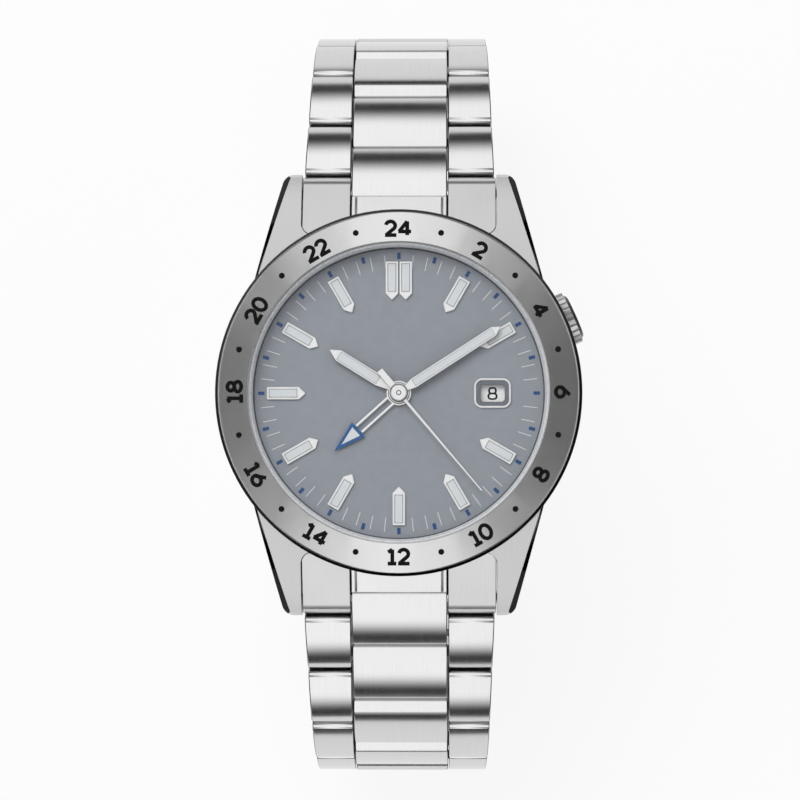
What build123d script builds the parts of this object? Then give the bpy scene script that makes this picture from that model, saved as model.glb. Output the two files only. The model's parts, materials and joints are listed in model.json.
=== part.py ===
from build123d import *
from math import asin, atan2, cos, pi, radians, sin, sqrt
import os

# World time wristwatch: 41 mm steel case, turning 24-hour bezel, four hands, date
# and a three-row steel bracelet closed by a folding clasp. Lengths are millimetres.
# Z runs out through the dial, Y towards 12 o'clock and X towards 3 o'clock.
# The origin is the middle of the flat case back, on the axis of the hands.

os.makedirs("parts", exist_ok=True)

# Clearances between pieces
running_clearance = 0.07
press_clearance = 0.01
seat_clearance = 0.05
open_clearance = 0.2
cut_overrun = 2.0

# Case body, from its outside in
case_radius = 20.1
case_wall = 5.6
back_recess_step = 1.8
gasket_groove_depth = 0.65
gasket_groove_height = 0.5
neck_step = 2.3
neck_wall = 0.8
case_tuck = 1.9
case_tuck_height = 2.2
back_bore_radius = case_radius - case_wall
back_recess_radius = back_bore_radius + back_recess_step
gasket_groove_radius = back_bore_radius + gasket_groove_depth
neck_radius = case_radius - neck_step
glass_bore_radius = neck_radius - neck_wall

# Case back
back_rim_bevel = 1.4
back_rim_height = 0.55
back_flange_height = 1.5
back_plug_height = 2.4
back_plug_wall = 0.9
back_floor = 0.9
back_notches = 6
back_notch_width = 2.4
back_notch_depth = 1.1
gasket_squeeze = 0.04
case_bottom = 0.95
back_radius = back_recess_radius - 2 * seat_clearance
back_flat_radius = back_radius - back_rim_bevel
back_plug_radius = back_bore_radius - 2 * seat_clearance

# Movement, stacked from the case back up to the dial
holder_wall = 1.25
rotor_side_gap = 0.6
rotor_rim = 2.6
rotor_rim_height = 1.15
rotor_web_height = 0.45
rotor_hub_radius = 2.0
rotor_axle_radius = 0.7
bridge_step = 0.6
bridge_thickness = 1.1
plate_thickness = 1.9
date_disc_width = 4.0
date_disc_step = 0.5
date_disc_thickness = 0.35
boss_gap = 0.1
boss_rise = 0.1
wheel_room = 0.4
wheel_recess_radius = 3.6
wheel_recess_depth = 0.95
centre_hole_radius = 1.2
balance_edge = 0.87
balance_angle = 129.3
balance_radius = 3.0
balance_rim = 0.5
balance_height = 0.35
balance_spoke = 0.45
balance_staff_radius = 0.22
cock_thickness = 0.35
balance_room = 0.3
movement_radius = back_bore_radius - open_clearance - holder_wall - seat_clearance
holder_bottom = back_plug_height + seat_clearance
rotor_radius = back_plug_radius - back_plug_wall - rotor_side_gap
rotor_bottom = back_floor + open_clearance
bridge_radius = movement_radius - bridge_step
bridge_bottom = rotor_bottom + rotor_rim_height + open_clearance + seat_clearance
plate_bottom = bridge_bottom + bridge_thickness
plate_top = plate_bottom + plate_thickness
date_disc_outer = movement_radius - date_disc_step
date_disc_inner = date_disc_outer - date_disc_width
date_disc_bottom = plate_top + balance_room / 2
boss_radius = date_disc_inner - boss_gap
boss_top = date_disc_bottom + date_disc_thickness + boss_rise
wheel_recess_floor = boss_top - wheel_recess_depth
balance_distance = bridge_radius - balance_radius - balance_edge
balance_x = -balance_distance * sin(radians(balance_angle))
balance_y = balance_distance * cos(radians(balance_angle))

# Dial and the hands above it
dial_thickness = 0.4
dial_hole_radius = 1.3
hand_thickness = 0.15
hand_step = 0.33
seconds_hand_step = 0.3
seconds_hub_height = 0.3
world_hand_lift = 0.39
dial_radius = glass_bore_radius - 2 * seat_clearance
dial_seat_height = boss_top + wheel_room
dial_face = dial_seat_height + dial_thickness
world_hand_height = dial_face + world_hand_lift
hour_hand_height = world_hand_height + hand_step
minute_hand_height = hour_hand_height + hand_step
seconds_hand_height = minute_hand_height + seconds_hand_step

# Top of the case, glass and inner flange
case_rise = 1.1
neck_height = 1.0
glass_edge_height = 1.5
glass_bevel = 0.3
glass_dome = 0.4
glass_gasket_width = 0.35
glass_gasket_height = 0.4
flange_width = 0.75
flange_top_width = 0.35
case_top = dial_face + case_rise
glass_radius = glass_bore_radius - glass_gasket_width
glass_seat_height = seconds_hand_height + seconds_hub_height + seat_clearance
flange_inner_radius = glass_bore_radius - seat_clearance - flange_width
flange_top_radius = glass_bore_radius - seat_clearance - flange_top_width

# Bezel
bezel_overhang = 0.4
bezel_bevel = 0.42
bezel_lift = 0.08
bezel_edge_rise = 1.55
bezel_cone_rise = 0.4
bezel_lip_gap = 0.2
bezel_lip_thickness = 0.8
bezel_radius = case_radius + bezel_overhang
bezel_edge_height = case_top + bezel_edge_rise
bezel_crown_height = bezel_edge_height + bezel_cone_rise
bezel_lip_radius = glass_radius + bezel_lip_gap

# Spring bars, which are also the first hinge of the bracelet
bar_height = 2.6
bar_radius = 0.75
bar_tip_radius = 0.42
bar_tip_reach = 0.9

# Lugs
lug_gap = 22.0
lug_reach = 4.8
lug_base_depth = 2.6
lug_root_depth = 0.34
lug_root_angle = 31.8
lug_tip_width = 1.9
lug_bar_setback = 2.05
lug_shoulder_depth = 7.1
lug_tip_rise = 1.8
lug_tip_drop = 1.1
lug_heel_setback = 1.25
lug_corner = 0.45
lug_tip_round = 1.4
lug_foot_round = 1.3
lug_bevel = 0.9
lug_bevel_drop = 0.6
lug_bevel_at_tip = 0.72
lug_bevel_at_root = 0.1
lug_tip_y = case_radius + lug_reach
bar_y = lug_tip_y - lug_bar_setback
lug_base_y = sqrt(case_radius**2 - (lug_gap / 2) ** 2) - lug_base_depth
lug_root_x = (case_radius - lug_root_depth) * cos(radians(lug_root_angle))
lug_root_y = (case_radius - lug_root_depth) * sin(radians(lug_root_angle))
lug_shoulder_y = case_radius - lug_shoulder_depth
lug_tip_top = bar_height + lug_tip_rise
lug_tip_bottom = bar_height - lug_tip_drop
lug_heel_y = lug_tip_y - lug_heel_setback

# Applied hour markers and the date window
dial_hours = 12
marker_edge_gap = 1.4
marker_length_share = 0.294
marker_width = 1.41
marker_point = 0.74
marker_height = 0.35
marker_rim = 0.235
marker_lume_inner = 0.95
marker_lume_depth = 0.16
twin_marker_gap = 0.14
date_hour_angle = 90
date_window_inset = 4.3
date_window_length = 2.73
date_window_width = 1.93
date_window_corner = 0.25
date_frame_border = 0.7
date_frame_corner = 0.9
date_frame_height = 0.3
date_step = 0.45
date_step_depth = 0.16
marker_outer_radius = flange_inner_radius - marker_edge_gap
marker_inner_radius = marker_outer_radius * (1 - marker_length_share)
date_radius = marker_outer_radius - date_window_inset
date_frame_length = date_window_length + 2 * date_frame_border
date_frame_width = date_window_width + 2 * date_frame_border

# Pipes and wheels on the axis of the hands, one inside the other
seconds_arbor_radius = 0.25
pipe_gap = 0.07
minute_pipe_wall = 0.23
hour_pipe_wall = 0.23
world_pipe_wall = 0.2
minute_pipe_bore = seconds_arbor_radius + pipe_gap
minute_pipe_radius = minute_pipe_bore + minute_pipe_wall
hour_pipe_bore = minute_pipe_radius + pipe_gap
hour_pipe_radius = hour_pipe_bore + hour_pipe_wall
world_pipe_bore = hour_pipe_radius + pipe_gap
world_pipe_radius = world_pipe_bore + world_pipe_wall
pinion_radius = 1.1
pinion_teeth = 10
hour_wheel_radius = 2.9
hour_wheel_teeth = 30
world_wheel_radius = 3.3
world_wheel_teeth = 36
tooth_depth = 0.22
wheel_thickness = 0.2

# Hands
hour_hand_angle = 302
minute_hand_angle = 57
seconds_hand_angle = 139.7
world_hand_angle = 228
hour_hand_short_of_marker = 1.28
hour_hand_width = 1.35
hour_hand_point_share = 0.136
hour_hand_root_share = 0.295
hour_hub_wall = 0.3
minute_hand_short_of_rim = 1.2
minute_hand_width = 1.14
minute_hand_point_share = 0.0735
minute_hand_root_share = 0.147
minute_hub_wall = 0.4
hand_neck_width = 0.62
hand_rim = 0.17
hand_lume_depth = 0.07
seconds_hand_short_of_rim = 0.4
seconds_hand_width = 0.34
seconds_tip_width = 0.18
seconds_tail_length = 3.3
seconds_tail_width = 0.75
seconds_hub_wall = 0.6
world_hand_short_of_marker = 0.68
world_arrow_length = 3.67
world_arrow_width = 2.16
world_arrow_rim = 0.3
world_rod_width = 0.25
world_rod_spacing = 0.92
world_hub_wall = 0.26
hour_hand_length = marker_inner_radius - hour_hand_short_of_marker
hour_hand_point = hour_hand_length * hour_hand_point_share
hour_hand_root = hour_hand_length * hour_hand_root_share
hour_hub_radius = hour_pipe_radius + hour_hub_wall
minute_hand_length = marker_outer_radius - minute_hand_short_of_rim
minute_hand_point = minute_hand_length * minute_hand_point_share
minute_hand_root = minute_hand_length * minute_hand_root_share
minute_hub_radius = minute_pipe_radius + minute_hub_wall
seconds_hand_length = marker_outer_radius - seconds_hand_short_of_rim
seconds_hub_radius = seconds_arbor_radius + seconds_hub_wall
world_hand_length = marker_inner_radius - world_hand_short_of_marker
world_arrow_base = world_hand_length - world_arrow_length
world_hub_radius = world_pipe_radius + world_hub_wall

# Crown, stem and tube
crown_angle = 24
crown_radius = 3.03
crown_proud = 1.6
crown_length = 3.0
crown_chamfer = 0.35
crown_flutes = 24
crown_flute_depth = 0.28
crown_face_taper = 45
crown_pull = 1.4
crown_skirt = 0.25
tube_wall = 0.58
tube_setback = 0.1
tube_reach = 0.5
stem_radius = 0.45
stem_gap = 0.17
stem_bearing = 5.4
stem_grip = 1.0
lever_setback = 2.7
lever_length = 0.7
lever_width = 1.5
lever_room = 0.3
tube_bore = stem_radius + stem_gap
tube_radius = tube_bore + tube_wall
crown_height = plate_bottom + plate_thickness / 2 - seat_clearance
crown_face = case_radius + crown_proud
crown_back = crown_face - crown_length
tube_inner_end = back_bore_radius + tube_setback
tube_length = crown_back + tube_reach - tube_inner_end
stem_inner_end = movement_radius - stem_bearing
lever_start = movement_radius - lever_setback

# Bracelet
link_pitch = 7.55
link_thickness = 3.2
link_nose = 0.27
link_gap = 0.1
link_dome = 0.42
link_edge = 0.3
link_side_gap = 0.1
link_pin_radius = 0.5
pin_sides = 10
centre_width = 10.8
bracelet_inset = 0.2
bracelet_taper_share = 0.066
end_link_inset = 0.1
end_link_slope = 30
end_link_lip_setback = 0.5
end_link_bottom = 1.05
end_link_under_bezel = 0.2
end_link_groove = 0.14
end_link_groove_depth = 0.2
end_link_border = 0.62
loop_slopes = (33.5, 33.5, 54, 75, 104, 133, 160)
link_reach = link_thickness / 2 + link_nose
bracelet_width = lug_gap - 2 * bracelet_inset
end_link_width = lug_gap - 2 * end_link_inset
end_link_lip_y = bar_y - end_link_lip_setback

# Folding clasp
clasp_sag = 2.0
cover_inset = 1.75
cover_wall = 0.9
cover_depth = 2.2
cover_side_rise = 0.9
cover_setback = 2.36
cover_end_wall = 1.0
cover_end_rise = 0.5
tongue_gap = 0.3
tongue_inset = 0.6
blade_side_gap = 1.85
blade_thickness = 0.8
long_blade_depth = 0.85
short_blade_rise = 0.45
fold_setback = 13.86
fold_rise = 0.2
fold_knuckle_radius = 0.95
fold_pin_radius = 0.45
fold_knuckle_width = 6.0
cover_pin_setback = 6.86
cover_pin_depth = 0.45
cover_knuckle_radius = 0.75
cover_pin_radius = 0.4
chain_knuckle_radius = 1.5
button_setback = 21.86
button_depth = 0.2
button_length = 5.0
button_width = 1.2
button_corner = 0.25
button_flange_end = 0.5
button_flange_side = 0.35
button_flange = 0.55
button_proud = 0.4
cover_width = bracelet_width - 2 * cover_inset
blade_width = cover_width - 2 * cover_wall - 2 * blade_side_gap
tongue_width = centre_width - 2 * tongue_inset
button_flange_length = button_length + 2 * button_flange_end
button_flange_width = button_width + 2 * button_flange_side


def save(piece, name):
    piece.part.label = name
    export_step(piece.part, f"parts/{name}.step")


def clock_plane(angle, height):
    """A level plane whose Y axis points at a clock angle in degrees from 12 o'clock."""
    turn = radians(angle)
    return Plane(origin=(0, 0, height), x_dir=(cos(turn), -sin(turn), 0), z_dir=(0, 0, 1))


# Mid case: a turned ring with four lugs, bored for the movement, dial and glass
neck_top = case_top + neck_height
bezel_bottom = case_top + bezel_lift
lug_outer_x = lug_gap / 2 + lug_tip_width
foot_x = lug_gap / 2 - lug_foot_round
foot_y = sqrt((case_radius + lug_foot_round) ** 2 - foot_x**2)
foot_turn = atan2(foot_y, foot_x)


def foot_point(radius, turn):
    """A point of the round between a lug and the ring, at a turn from the +X side."""
    return (foot_x + radius * cos(turn), foot_y + radius * sin(turn))


with BuildPart() as mid_case:
    with BuildSketch(Plane.XY.offset(case_bottom)):
        with BuildLine():
            Polyline(
                foot_point(lug_foot_round, 0),
                (lug_gap / 2, lug_tip_y),
                (lug_outer_x + lug_bevel - lug_bevel_at_tip, lug_tip_y),
                (lug_root_x + lug_bevel - lug_bevel_at_root, lug_root_y),
                (lug_gap / 2, lug_base_y),
                foot_point(lug_foot_round, foot_turn - pi),
            )
            ThreePointArc(
                foot_point(lug_foot_round, foot_turn - pi),
                foot_point(lug_foot_round, (foot_turn - pi) / 2),
                foot_point(lug_foot_round, 0),
            )
        make_face()
    extrude(amount=case_top - case_bottom)
    with BuildSketch(Plane.YZ) as lug_side:
        with BuildLine():
            Polyline(
                (lug_shoulder_y, case_top),
                (0, case_top),
                (0, case_bottom),
                (lug_heel_y, case_bottom),
                (lug_tip_y, lug_tip_bottom),
                (lug_tip_y, lug_tip_top),
            )
            TangentArc((lug_shoulder_y, case_top), (lug_tip_y, lug_tip_top), tangent=(1, 0))
        make_face()
        chamfer(lug_side.vertices().group_by(Axis.X)[-1], lug_corner)
    extrude(amount=lug_root_x + cut_overrun, mode=Mode.INTERSECT)
    # The bevel along the crest is cut first, then the side that narrows it to the root
    lug_crest = mid_case.faces().filter_by(GeomType.CYLINDER).sort_by(SortBy.AREA)[-1]
    lug_root_top = mid_case.faces().sort_by(Axis.Z)[-1]
    lug_rim = [top.edges().sort_by(Axis.X)[-1] for top in (lug_crest, lug_root_top)]
    lug_flank = mid_case.faces().filter_by(GeomType.PLANE).sort_by(Axis.X)[-1]
    chamfer(lug_rim, lug_bevel, lug_bevel_drop, reference=lug_flank)
    with BuildSketch(Plane.XY.offset(case_bottom)) as lug_plan:
        Polygon(
            (0, 0),
            (0, lug_tip_y),
            (lug_outer_x, lug_tip_y),
            (lug_root_x, lug_root_y),
            align=None,
        )
        fillet(lug_plan.vertices().group_by(Axis.Y)[-1].sort_by(Axis.X)[-1], lug_tip_round)
    extrude(amount=case_top - case_bottom, mode=Mode.INTERSECT)
    mirror(about=Plane.YZ)
    mirror(about=Plane.XZ)
    with BuildSketch(Plane.XZ):
        with BuildLine():
            Polyline(
                (back_bore_radius, back_flange_height + gasket_groove_height),
                (gasket_groove_radius, back_flange_height + gasket_groove_height),
                (gasket_groove_radius, back_flange_height),
                (back_recess_radius, back_flange_height),
                (back_recess_radius, case_bottom),
                (case_radius - case_tuck, case_bottom),
                (case_radius, case_bottom + case_tuck_height),
                (case_radius, case_top),
                (neck_radius, case_top),
                (neck_radius, neck_top),
                (glass_bore_radius, neck_top),
                (glass_bore_radius, dial_seat_height),
                (back_bore_radius, dial_seat_height),
                close=True,
            )
        make_face()
    revolve(axis=Axis.Z)

# The crown lies across the case wall in a round pocket, with the tube through the wall
crown_turn = radians(crown_angle)
crown_direction = (cos(crown_turn), sin(crown_turn), 0)
crown_plane = Plane(origin=(0, 0, crown_height), x_dir=(0, 0, 1), z_dir=crown_direction)
pocket_floor = crown_back - crown_skirt
pocket_radius = crown_radius + crown_skirt

with mid_case:
    with BuildSketch(crown_plane.offset(pocket_floor)):
        Circle(pocket_radius)
    extrude(amount=crown_length + cut_overrun, mode=Mode.SUBTRACT)
    with BuildSketch(crown_plane.offset(back_bore_radius - cut_overrun)):
        Circle(tube_radius + press_clearance)
    extrude(amount=pocket_floor - back_bore_radius + 2 * cut_overrun, mode=Mode.SUBTRACT)
    bar_hole_reach = lug_gap / 2 + bar_tip_reach + seat_clearance
    for bar_side in (1, -1):
        with BuildSketch(Plane.YZ):
            with Locations((bar_side * bar_y, bar_height)):
                RegularPolygon(bar_tip_radius + seat_clearance, pin_sides, major_radius=False)
        extrude(amount=bar_hole_reach, both=True, mode=Mode.SUBTRACT)

save(mid_case, "mid_case")

# Case back: a screwed cover with a hollow for the rotor and notches for its key
with BuildPart() as case_back:
    with BuildSketch(Plane.XZ):
        with BuildLine():
            Polyline(
                (0, 0),
                (back_flat_radius, 0),
                (back_radius, back_rim_height),
                (back_radius, back_flange_height),
                (back_plug_radius, back_flange_height),
                (back_plug_radius, back_plug_height),
                (back_plug_radius - back_plug_wall, back_plug_height),
                (back_plug_radius - back_plug_wall, back_floor),
                (0, back_floor),
                close=True,
            )
        make_face()
    revolve(axis=Axis.Z)
    with BuildSketch():
        with PolarLocations(back_radius - back_notch_depth / 2, back_notches):
            Rectangle(back_notch_depth, back_notch_width)
    extrude(amount=back_rim_height + back_rim_height / 2, mode=Mode.SUBTRACT)

save(case_back, "case_back")

with BuildPart() as case_back_gasket:
    with BuildSketch(Plane.XY.offset(back_flange_height + gasket_squeeze)):
        Circle(gasket_groove_radius - gasket_squeeze)
        Circle(back_plug_radius + gasket_squeeze, mode=Mode.SUBTRACT)
    extrude(amount=gasket_groove_height - 2 * gasket_squeeze)

save(case_back_gasket, "case_back_gasket")

# Bezel: a turned ring that snaps over the neck of the case and turns on it
bezel_bore = neck_radius + running_clearance
lip_bottom = bezel_crown_height - bezel_lip_thickness

with BuildPart() as bezel:
    with BuildSketch(Plane.XZ):
        with BuildLine():
            Polyline(
                (bezel_bore, bezel_bottom),
                (bezel_radius, bezel_bottom),
                (bezel_radius, bezel_edge_height - bezel_bevel),
                (bezel_radius - bezel_bevel, bezel_edge_height),
                (bezel_lip_radius, bezel_crown_height),
                (bezel_lip_radius, lip_bottom),
                (bezel_bore, lip_bottom),
                close=True,
            )
        make_face()
    revolve(axis=Axis.Z)

save(bezel, "bezel")

# Glass: a flat sapphire disc with a low dome and a bevelled edge
glass_shoulder = glass_seat_height + glass_edge_height
glass_top = glass_shoulder + glass_bevel
dome_sphere = ((glass_radius - glass_bevel) ** 2 + glass_dome**2) / (2 * glass_dome)
dome_share = 0.5
dome_x = (glass_radius - glass_bevel) * dome_share
dome_drop = dome_sphere - sqrt(dome_sphere**2 - dome_x**2)

with BuildPart() as crystal:
    with BuildSketch(Plane.XZ):
        with BuildLine():
            Polyline(
                (0, glass_top + glass_dome),
                (0, glass_seat_height),
                (glass_radius, glass_seat_height),
                (glass_radius, glass_shoulder),
                (glass_radius - glass_bevel, glass_top),
            )
            ThreePointArc(
                (glass_radius - glass_bevel, glass_top),
                (dome_x, glass_top + glass_dome - dome_drop),
                (0, glass_top + glass_dome),
            )
        make_face()
    revolve(axis=Axis.Z)

save(crystal, "crystal")

with BuildPart() as crystal_gasket:
    with BuildSketch(Plane.XY.offset(glass_seat_height)):
        Circle(glass_bore_radius - gasket_squeeze)
        Circle(glass_radius + gasket_squeeze, mode=Mode.SUBTRACT)
    extrude(amount=glass_gasket_height)

save(crystal_gasket, "crystal_gasket")

# Inner flange: the sloping bright ring between the glass and the dial
with BuildPart() as rehaut_ring:
    with BuildSketch(Plane.XZ):
        with BuildLine():
            Polyline(
                (flange_inner_radius, dial_face),
                (glass_bore_radius - seat_clearance, dial_face),
                (glass_bore_radius - seat_clearance, glass_seat_height),
                (flange_top_radius, glass_seat_height),
                close=True,
            )
        make_face()
    revolve(axis=Axis.Z)

save(rehaut_ring, "rehaut_ring")

# Dial: a thin disc with the centre hole and the date window cut through
with BuildPart() as dial:
    with BuildSketch(Plane.XY.offset(dial_seat_height)):
        Circle(dial_radius)
        Circle(dial_hole_radius, mode=Mode.SUBTRACT)
    extrude(amount=dial_thickness)
    with BuildSketch(Plane.XY.offset(dial_seat_height)) as dial_window:
        with Locations((date_radius, 0)):
            Rectangle(date_window_length, date_window_width)
        chamfer(dial_window.vertices(), date_window_corner)
    extrude(amount=dial_thickness, mode=Mode.SUBTRACT)

save(dial, "dial")

# Hour markers: applied batons with a pointed inner end and a pocket for the lume
marker_places = []
for hour in range(dial_hours):
    angle = hour * 360 / dial_hours
    if hour == 0:
        marker_places.append((angle, -(marker_width + twin_marker_gap) / 2))
        marker_places.append((angle, (marker_width + twin_marker_gap) / 2))
    elif angle != date_hour_angle:
        marker_places.append((angle, 0))

lume_width = marker_width - 2 * marker_rim
lume_start = marker_inner_radius + marker_lume_inner
lume_length = marker_outer_radius - marker_rim - lume_start
lume_middle = lume_start + lume_length / 2
marker_top = dial_face + marker_height

with BuildPart() as hour_markers:
    for angle, shift in marker_places:
        with BuildSketch(clock_plane(angle, dial_face)):
            with BuildLine():
                Polyline(
                    (shift, marker_inner_radius),
                    (shift + marker_width / 2, marker_inner_radius + marker_point),
                    (shift + marker_width / 2, marker_outer_radius),
                    (shift - marker_width / 2, marker_outer_radius),
                    (shift - marker_width / 2, marker_inner_radius + marker_point),
                    close=True,
                )
            make_face()
        extrude(amount=marker_height)
        with BuildSketch(clock_plane(angle, marker_top - marker_lume_depth)):
            with Locations((shift, lume_middle)):
                Rectangle(lume_width, lume_length)
        extrude(amount=marker_lume_depth, mode=Mode.SUBTRACT)

save(hour_markers, "hour_markers")

with BuildPart() as marker_lume:
    for angle, shift in marker_places:
        with BuildSketch(clock_plane(angle, marker_top - marker_lume_depth)):
            with Locations((shift, lume_middle)):
                Rectangle(lume_width - 2 * press_clearance, lume_length - 2 * press_clearance)
        extrude(amount=marker_lume_depth - press_clearance)

save(marker_lume, "marker_lume")

# Date frame: a stepped rounded frame round the window
with BuildPart() as date_frame:
    with BuildSketch(Plane.XY.offset(dial_face)):
        with Locations((date_radius, 0)):
            RectangleRounded(date_frame_length, date_frame_width, date_frame_corner)
    extrude(amount=date_frame_height)
    with BuildSketch(Plane.XY.offset(dial_face)) as frame_window:
        with Locations((date_radius, 0)):
            Rectangle(date_window_length, date_window_width)
        chamfer(frame_window.vertices(), date_window_corner)
    extrude(amount=date_frame_height, mode=Mode.SUBTRACT)
    with BuildSketch(Plane.XY.offset(dial_face + date_frame_height - date_step_depth)):
        with Locations((date_radius, 0)):
            RectangleRounded(
                date_frame_length - date_step,
                date_frame_width - date_step,
                date_frame_corner - date_step / 2,
            )
    extrude(amount=date_step_depth, mode=Mode.SUBTRACT)

save(date_frame, "date_frame")

# Movement holder: the ring that centres the movement in the case bore
with BuildPart() as movement_holder:
    with BuildSketch(Plane.XY.offset(holder_bottom)):
        Circle(movement_radius + seat_clearance + holder_wall)
        Circle(movement_radius + seat_clearance, mode=Mode.SUBTRACT)
    extrude(amount=dial_seat_height - seat_clearance - holder_bottom)
    with BuildSketch(crown_plane.offset(movement_radius - cut_overrun)):
        RegularPolygon(tube_bore, pin_sides)
    extrude(amount=holder_wall + 2 * cut_overrun, mode=Mode.SUBTRACT)

save(movement_holder, "movement_holder")

# Main plate: carries the motion work in its centre and the date disc round its boss
balance_top = plate_bottom + balance_room
stem_channel_width = 2 * (stem_radius + running_clearance)
stem_channel_length = movement_radius - stem_inner_end + cut_overrun
lever_slot_start = lever_start - lever_room
lever_slot_length = lever_length + crown_pull + 2 * lever_room
lever_slot_width = lever_width + lever_room
staff_top = plate_bottom + (plate_top - plate_bottom) / 2

with BuildPart() as main_plate:
    with BuildSketch(Plane.XY.offset(plate_bottom)):
        Circle(movement_radius)
    extrude(amount=plate_top - plate_bottom)
    with BuildSketch(Plane.XY.offset(plate_top)):
        Circle(boss_radius)
    extrude(amount=boss_top - plate_top)
    with BuildSketch(Plane.XY.offset(wheel_recess_floor)):
        Circle(wheel_recess_radius)
    extrude(amount=boss_top - wheel_recess_floor, mode=Mode.SUBTRACT)
    with BuildSketch(Plane.XY.offset(plate_bottom)):
        Circle(centre_hole_radius)
    extrude(amount=boss_top - plate_bottom, mode=Mode.SUBTRACT)
    with BuildSketch(Plane.XY.offset(plate_bottom)):
        with Locations((balance_x, balance_y)):
            Circle(balance_staff_radius + running_clearance)
    extrude(amount=staff_top - plate_bottom, mode=Mode.SUBTRACT)
    with BuildSketch(clock_plane(90 - crown_angle, plate_bottom)):
        with Locations((0, stem_inner_end - lever_room + stem_channel_length / 2)):
            Rectangle(stem_channel_width, stem_channel_length)
    extrude(amount=crown_height + stem_channel_width / 2 - plate_bottom, mode=Mode.SUBTRACT)
    with BuildSketch(clock_plane(90 - crown_angle, plate_bottom)):
        with Locations((0, lever_slot_start + lever_slot_length / 2)):
            Rectangle(lever_slot_width, lever_slot_length)
    extrude(amount=plate_top - plate_bottom, mode=Mode.SUBTRACT)

save(main_plate, "main_plate")

# Train bridge: closes the movement at the back, holds the balance and the rotor axle
with BuildPart() as train_bridge:
    with BuildSketch(Plane.XY.offset(bridge_bottom)):
        Circle(bridge_radius)
    extrude(amount=plate_bottom - bridge_bottom)
    with BuildSketch(Plane.XY.offset(bridge_bottom + cock_thickness)):
        with Locations((balance_x, balance_y)):
            Circle(balance_radius + balance_room)
    extrude(amount=plate_bottom - bridge_bottom - cock_thickness, mode=Mode.SUBTRACT)
    with BuildSketch(Plane.XY.offset(rotor_bottom + open_clearance)):
        Circle(rotor_axle_radius)
    extrude(amount=bridge_bottom - rotor_bottom - open_clearance)

save(train_bridge, "train_bridge")

# Balance wheel: a spoked rim on a staff, turning in the pocket of the bridge
balance_bottom = bridge_bottom + cock_thickness + balance_room / 2

with BuildPart() as balance_wheel:
    with BuildSketch(Plane.XY.offset(balance_bottom)):
        with Locations((balance_x, balance_y)):
            Circle(balance_radius)
            Circle(balance_radius - balance_rim, mode=Mode.SUBTRACT)
            Rectangle(2 * balance_radius - balance_rim, balance_spoke)
    extrude(amount=balance_height)
    with BuildSketch(Plane.XY.offset(balance_bottom)):
        with Locations((balance_x, balance_y)):
            Circle(balance_staff_radius)
    extrude(amount=staff_top - running_clearance - balance_bottom)

save(balance_wheel, "balance_wheel")

# Rotor: a half-round web with a heavy rim that swings on the axle and winds the watch
rotor_inner_rim = rotor_radius - rotor_rim

with BuildPart() as rotor:
    with BuildSketch(Plane.XY.offset(rotor_bottom)):
        Circle(rotor_radius)
        with Locations((0, rotor_radius)):
            Rectangle(2 * rotor_radius, 2 * rotor_radius, mode=Mode.SUBTRACT)
        Circle(rotor_hub_radius)
        Circle(rotor_axle_radius + running_clearance, mode=Mode.SUBTRACT)
    extrude(amount=rotor_web_height)
    with BuildSketch(Plane.XY.offset(rotor_bottom)):
        Circle(rotor_radius)
        Circle(rotor_inner_rim, mode=Mode.SUBTRACT)
        with Locations((0, rotor_radius)):
            Rectangle(2 * rotor_radius, 2 * rotor_radius, mode=Mode.SUBTRACT)
    extrude(amount=rotor_rim_height)

save(rotor, "rotor")

# Date disc: a flat ring that turns round the boss of the main plate
with BuildPart() as date_disc:
    with BuildSketch(Plane.XY.offset(date_disc_bottom)):
        Circle(date_disc_outer)
        Circle(date_disc_inner, mode=Mode.SUBTRACT)
    extrude(amount=date_disc_thickness)

save(date_disc, "date_disc")


# Motion work: toothed wheels on pipes that nest inside each other
def tooth_points(radius, teeth):
    """Corners of a wheel with pointed teeth, given its tip radius and tooth count."""
    points = []
    for corner in range(2 * teeth):
        turn = pi * corner / teeth
        reach = radius - (corner % 2) * tooth_depth
        points.append((reach * cos(turn), reach * sin(turn)))
    return points


world_wheel_bottom = boss_top + seat_clearance
hour_wheel_bottom = wheel_recess_floor + 2 * wheel_thickness + seat_clearance
pinion_bottom = plate_bottom + wheel_thickness
minute_pipe_bottom = pinion_bottom + wheel_thickness

with BuildPart() as cannon_pinion:
    with BuildSketch(Plane.XY.offset(wheel_recess_floor + seat_clearance)):
        with BuildLine():
            Polyline(*tooth_points(pinion_radius, pinion_teeth), close=True)
        make_face()
    extrude(amount=wheel_thickness)
    with BuildSketch(Plane.XY.offset(minute_pipe_bottom)):
        Circle(minute_pipe_radius)
    extrude(amount=minute_hand_height + hand_thickness - minute_pipe_bottom)
    with BuildSketch(Plane.XY.offset(minute_pipe_bottom)):
        Circle(minute_pipe_bore)
    extrude(amount=minute_hand_height + hand_thickness - minute_pipe_bottom, mode=Mode.SUBTRACT)

save(cannon_pinion, "cannon_pinion")

with BuildPart() as hour_wheel:
    with BuildSketch(Plane.XY.offset(hour_wheel_bottom)):
        with BuildLine():
            Polyline(*tooth_points(hour_wheel_radius, hour_wheel_teeth), close=True)
        make_face()
    extrude(amount=wheel_thickness)
    with BuildSketch(Plane.XY.offset(hour_wheel_bottom)):
        Circle(hour_pipe_radius)
    extrude(amount=hour_hand_height + hand_thickness - hour_wheel_bottom)
    with BuildSketch(Plane.XY.offset(hour_wheel_bottom)):
        Circle(hour_pipe_bore)
    extrude(amount=hour_hand_height + hand_thickness - hour_wheel_bottom, mode=Mode.SUBTRACT)

save(hour_wheel, "hour_wheel")

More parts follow.
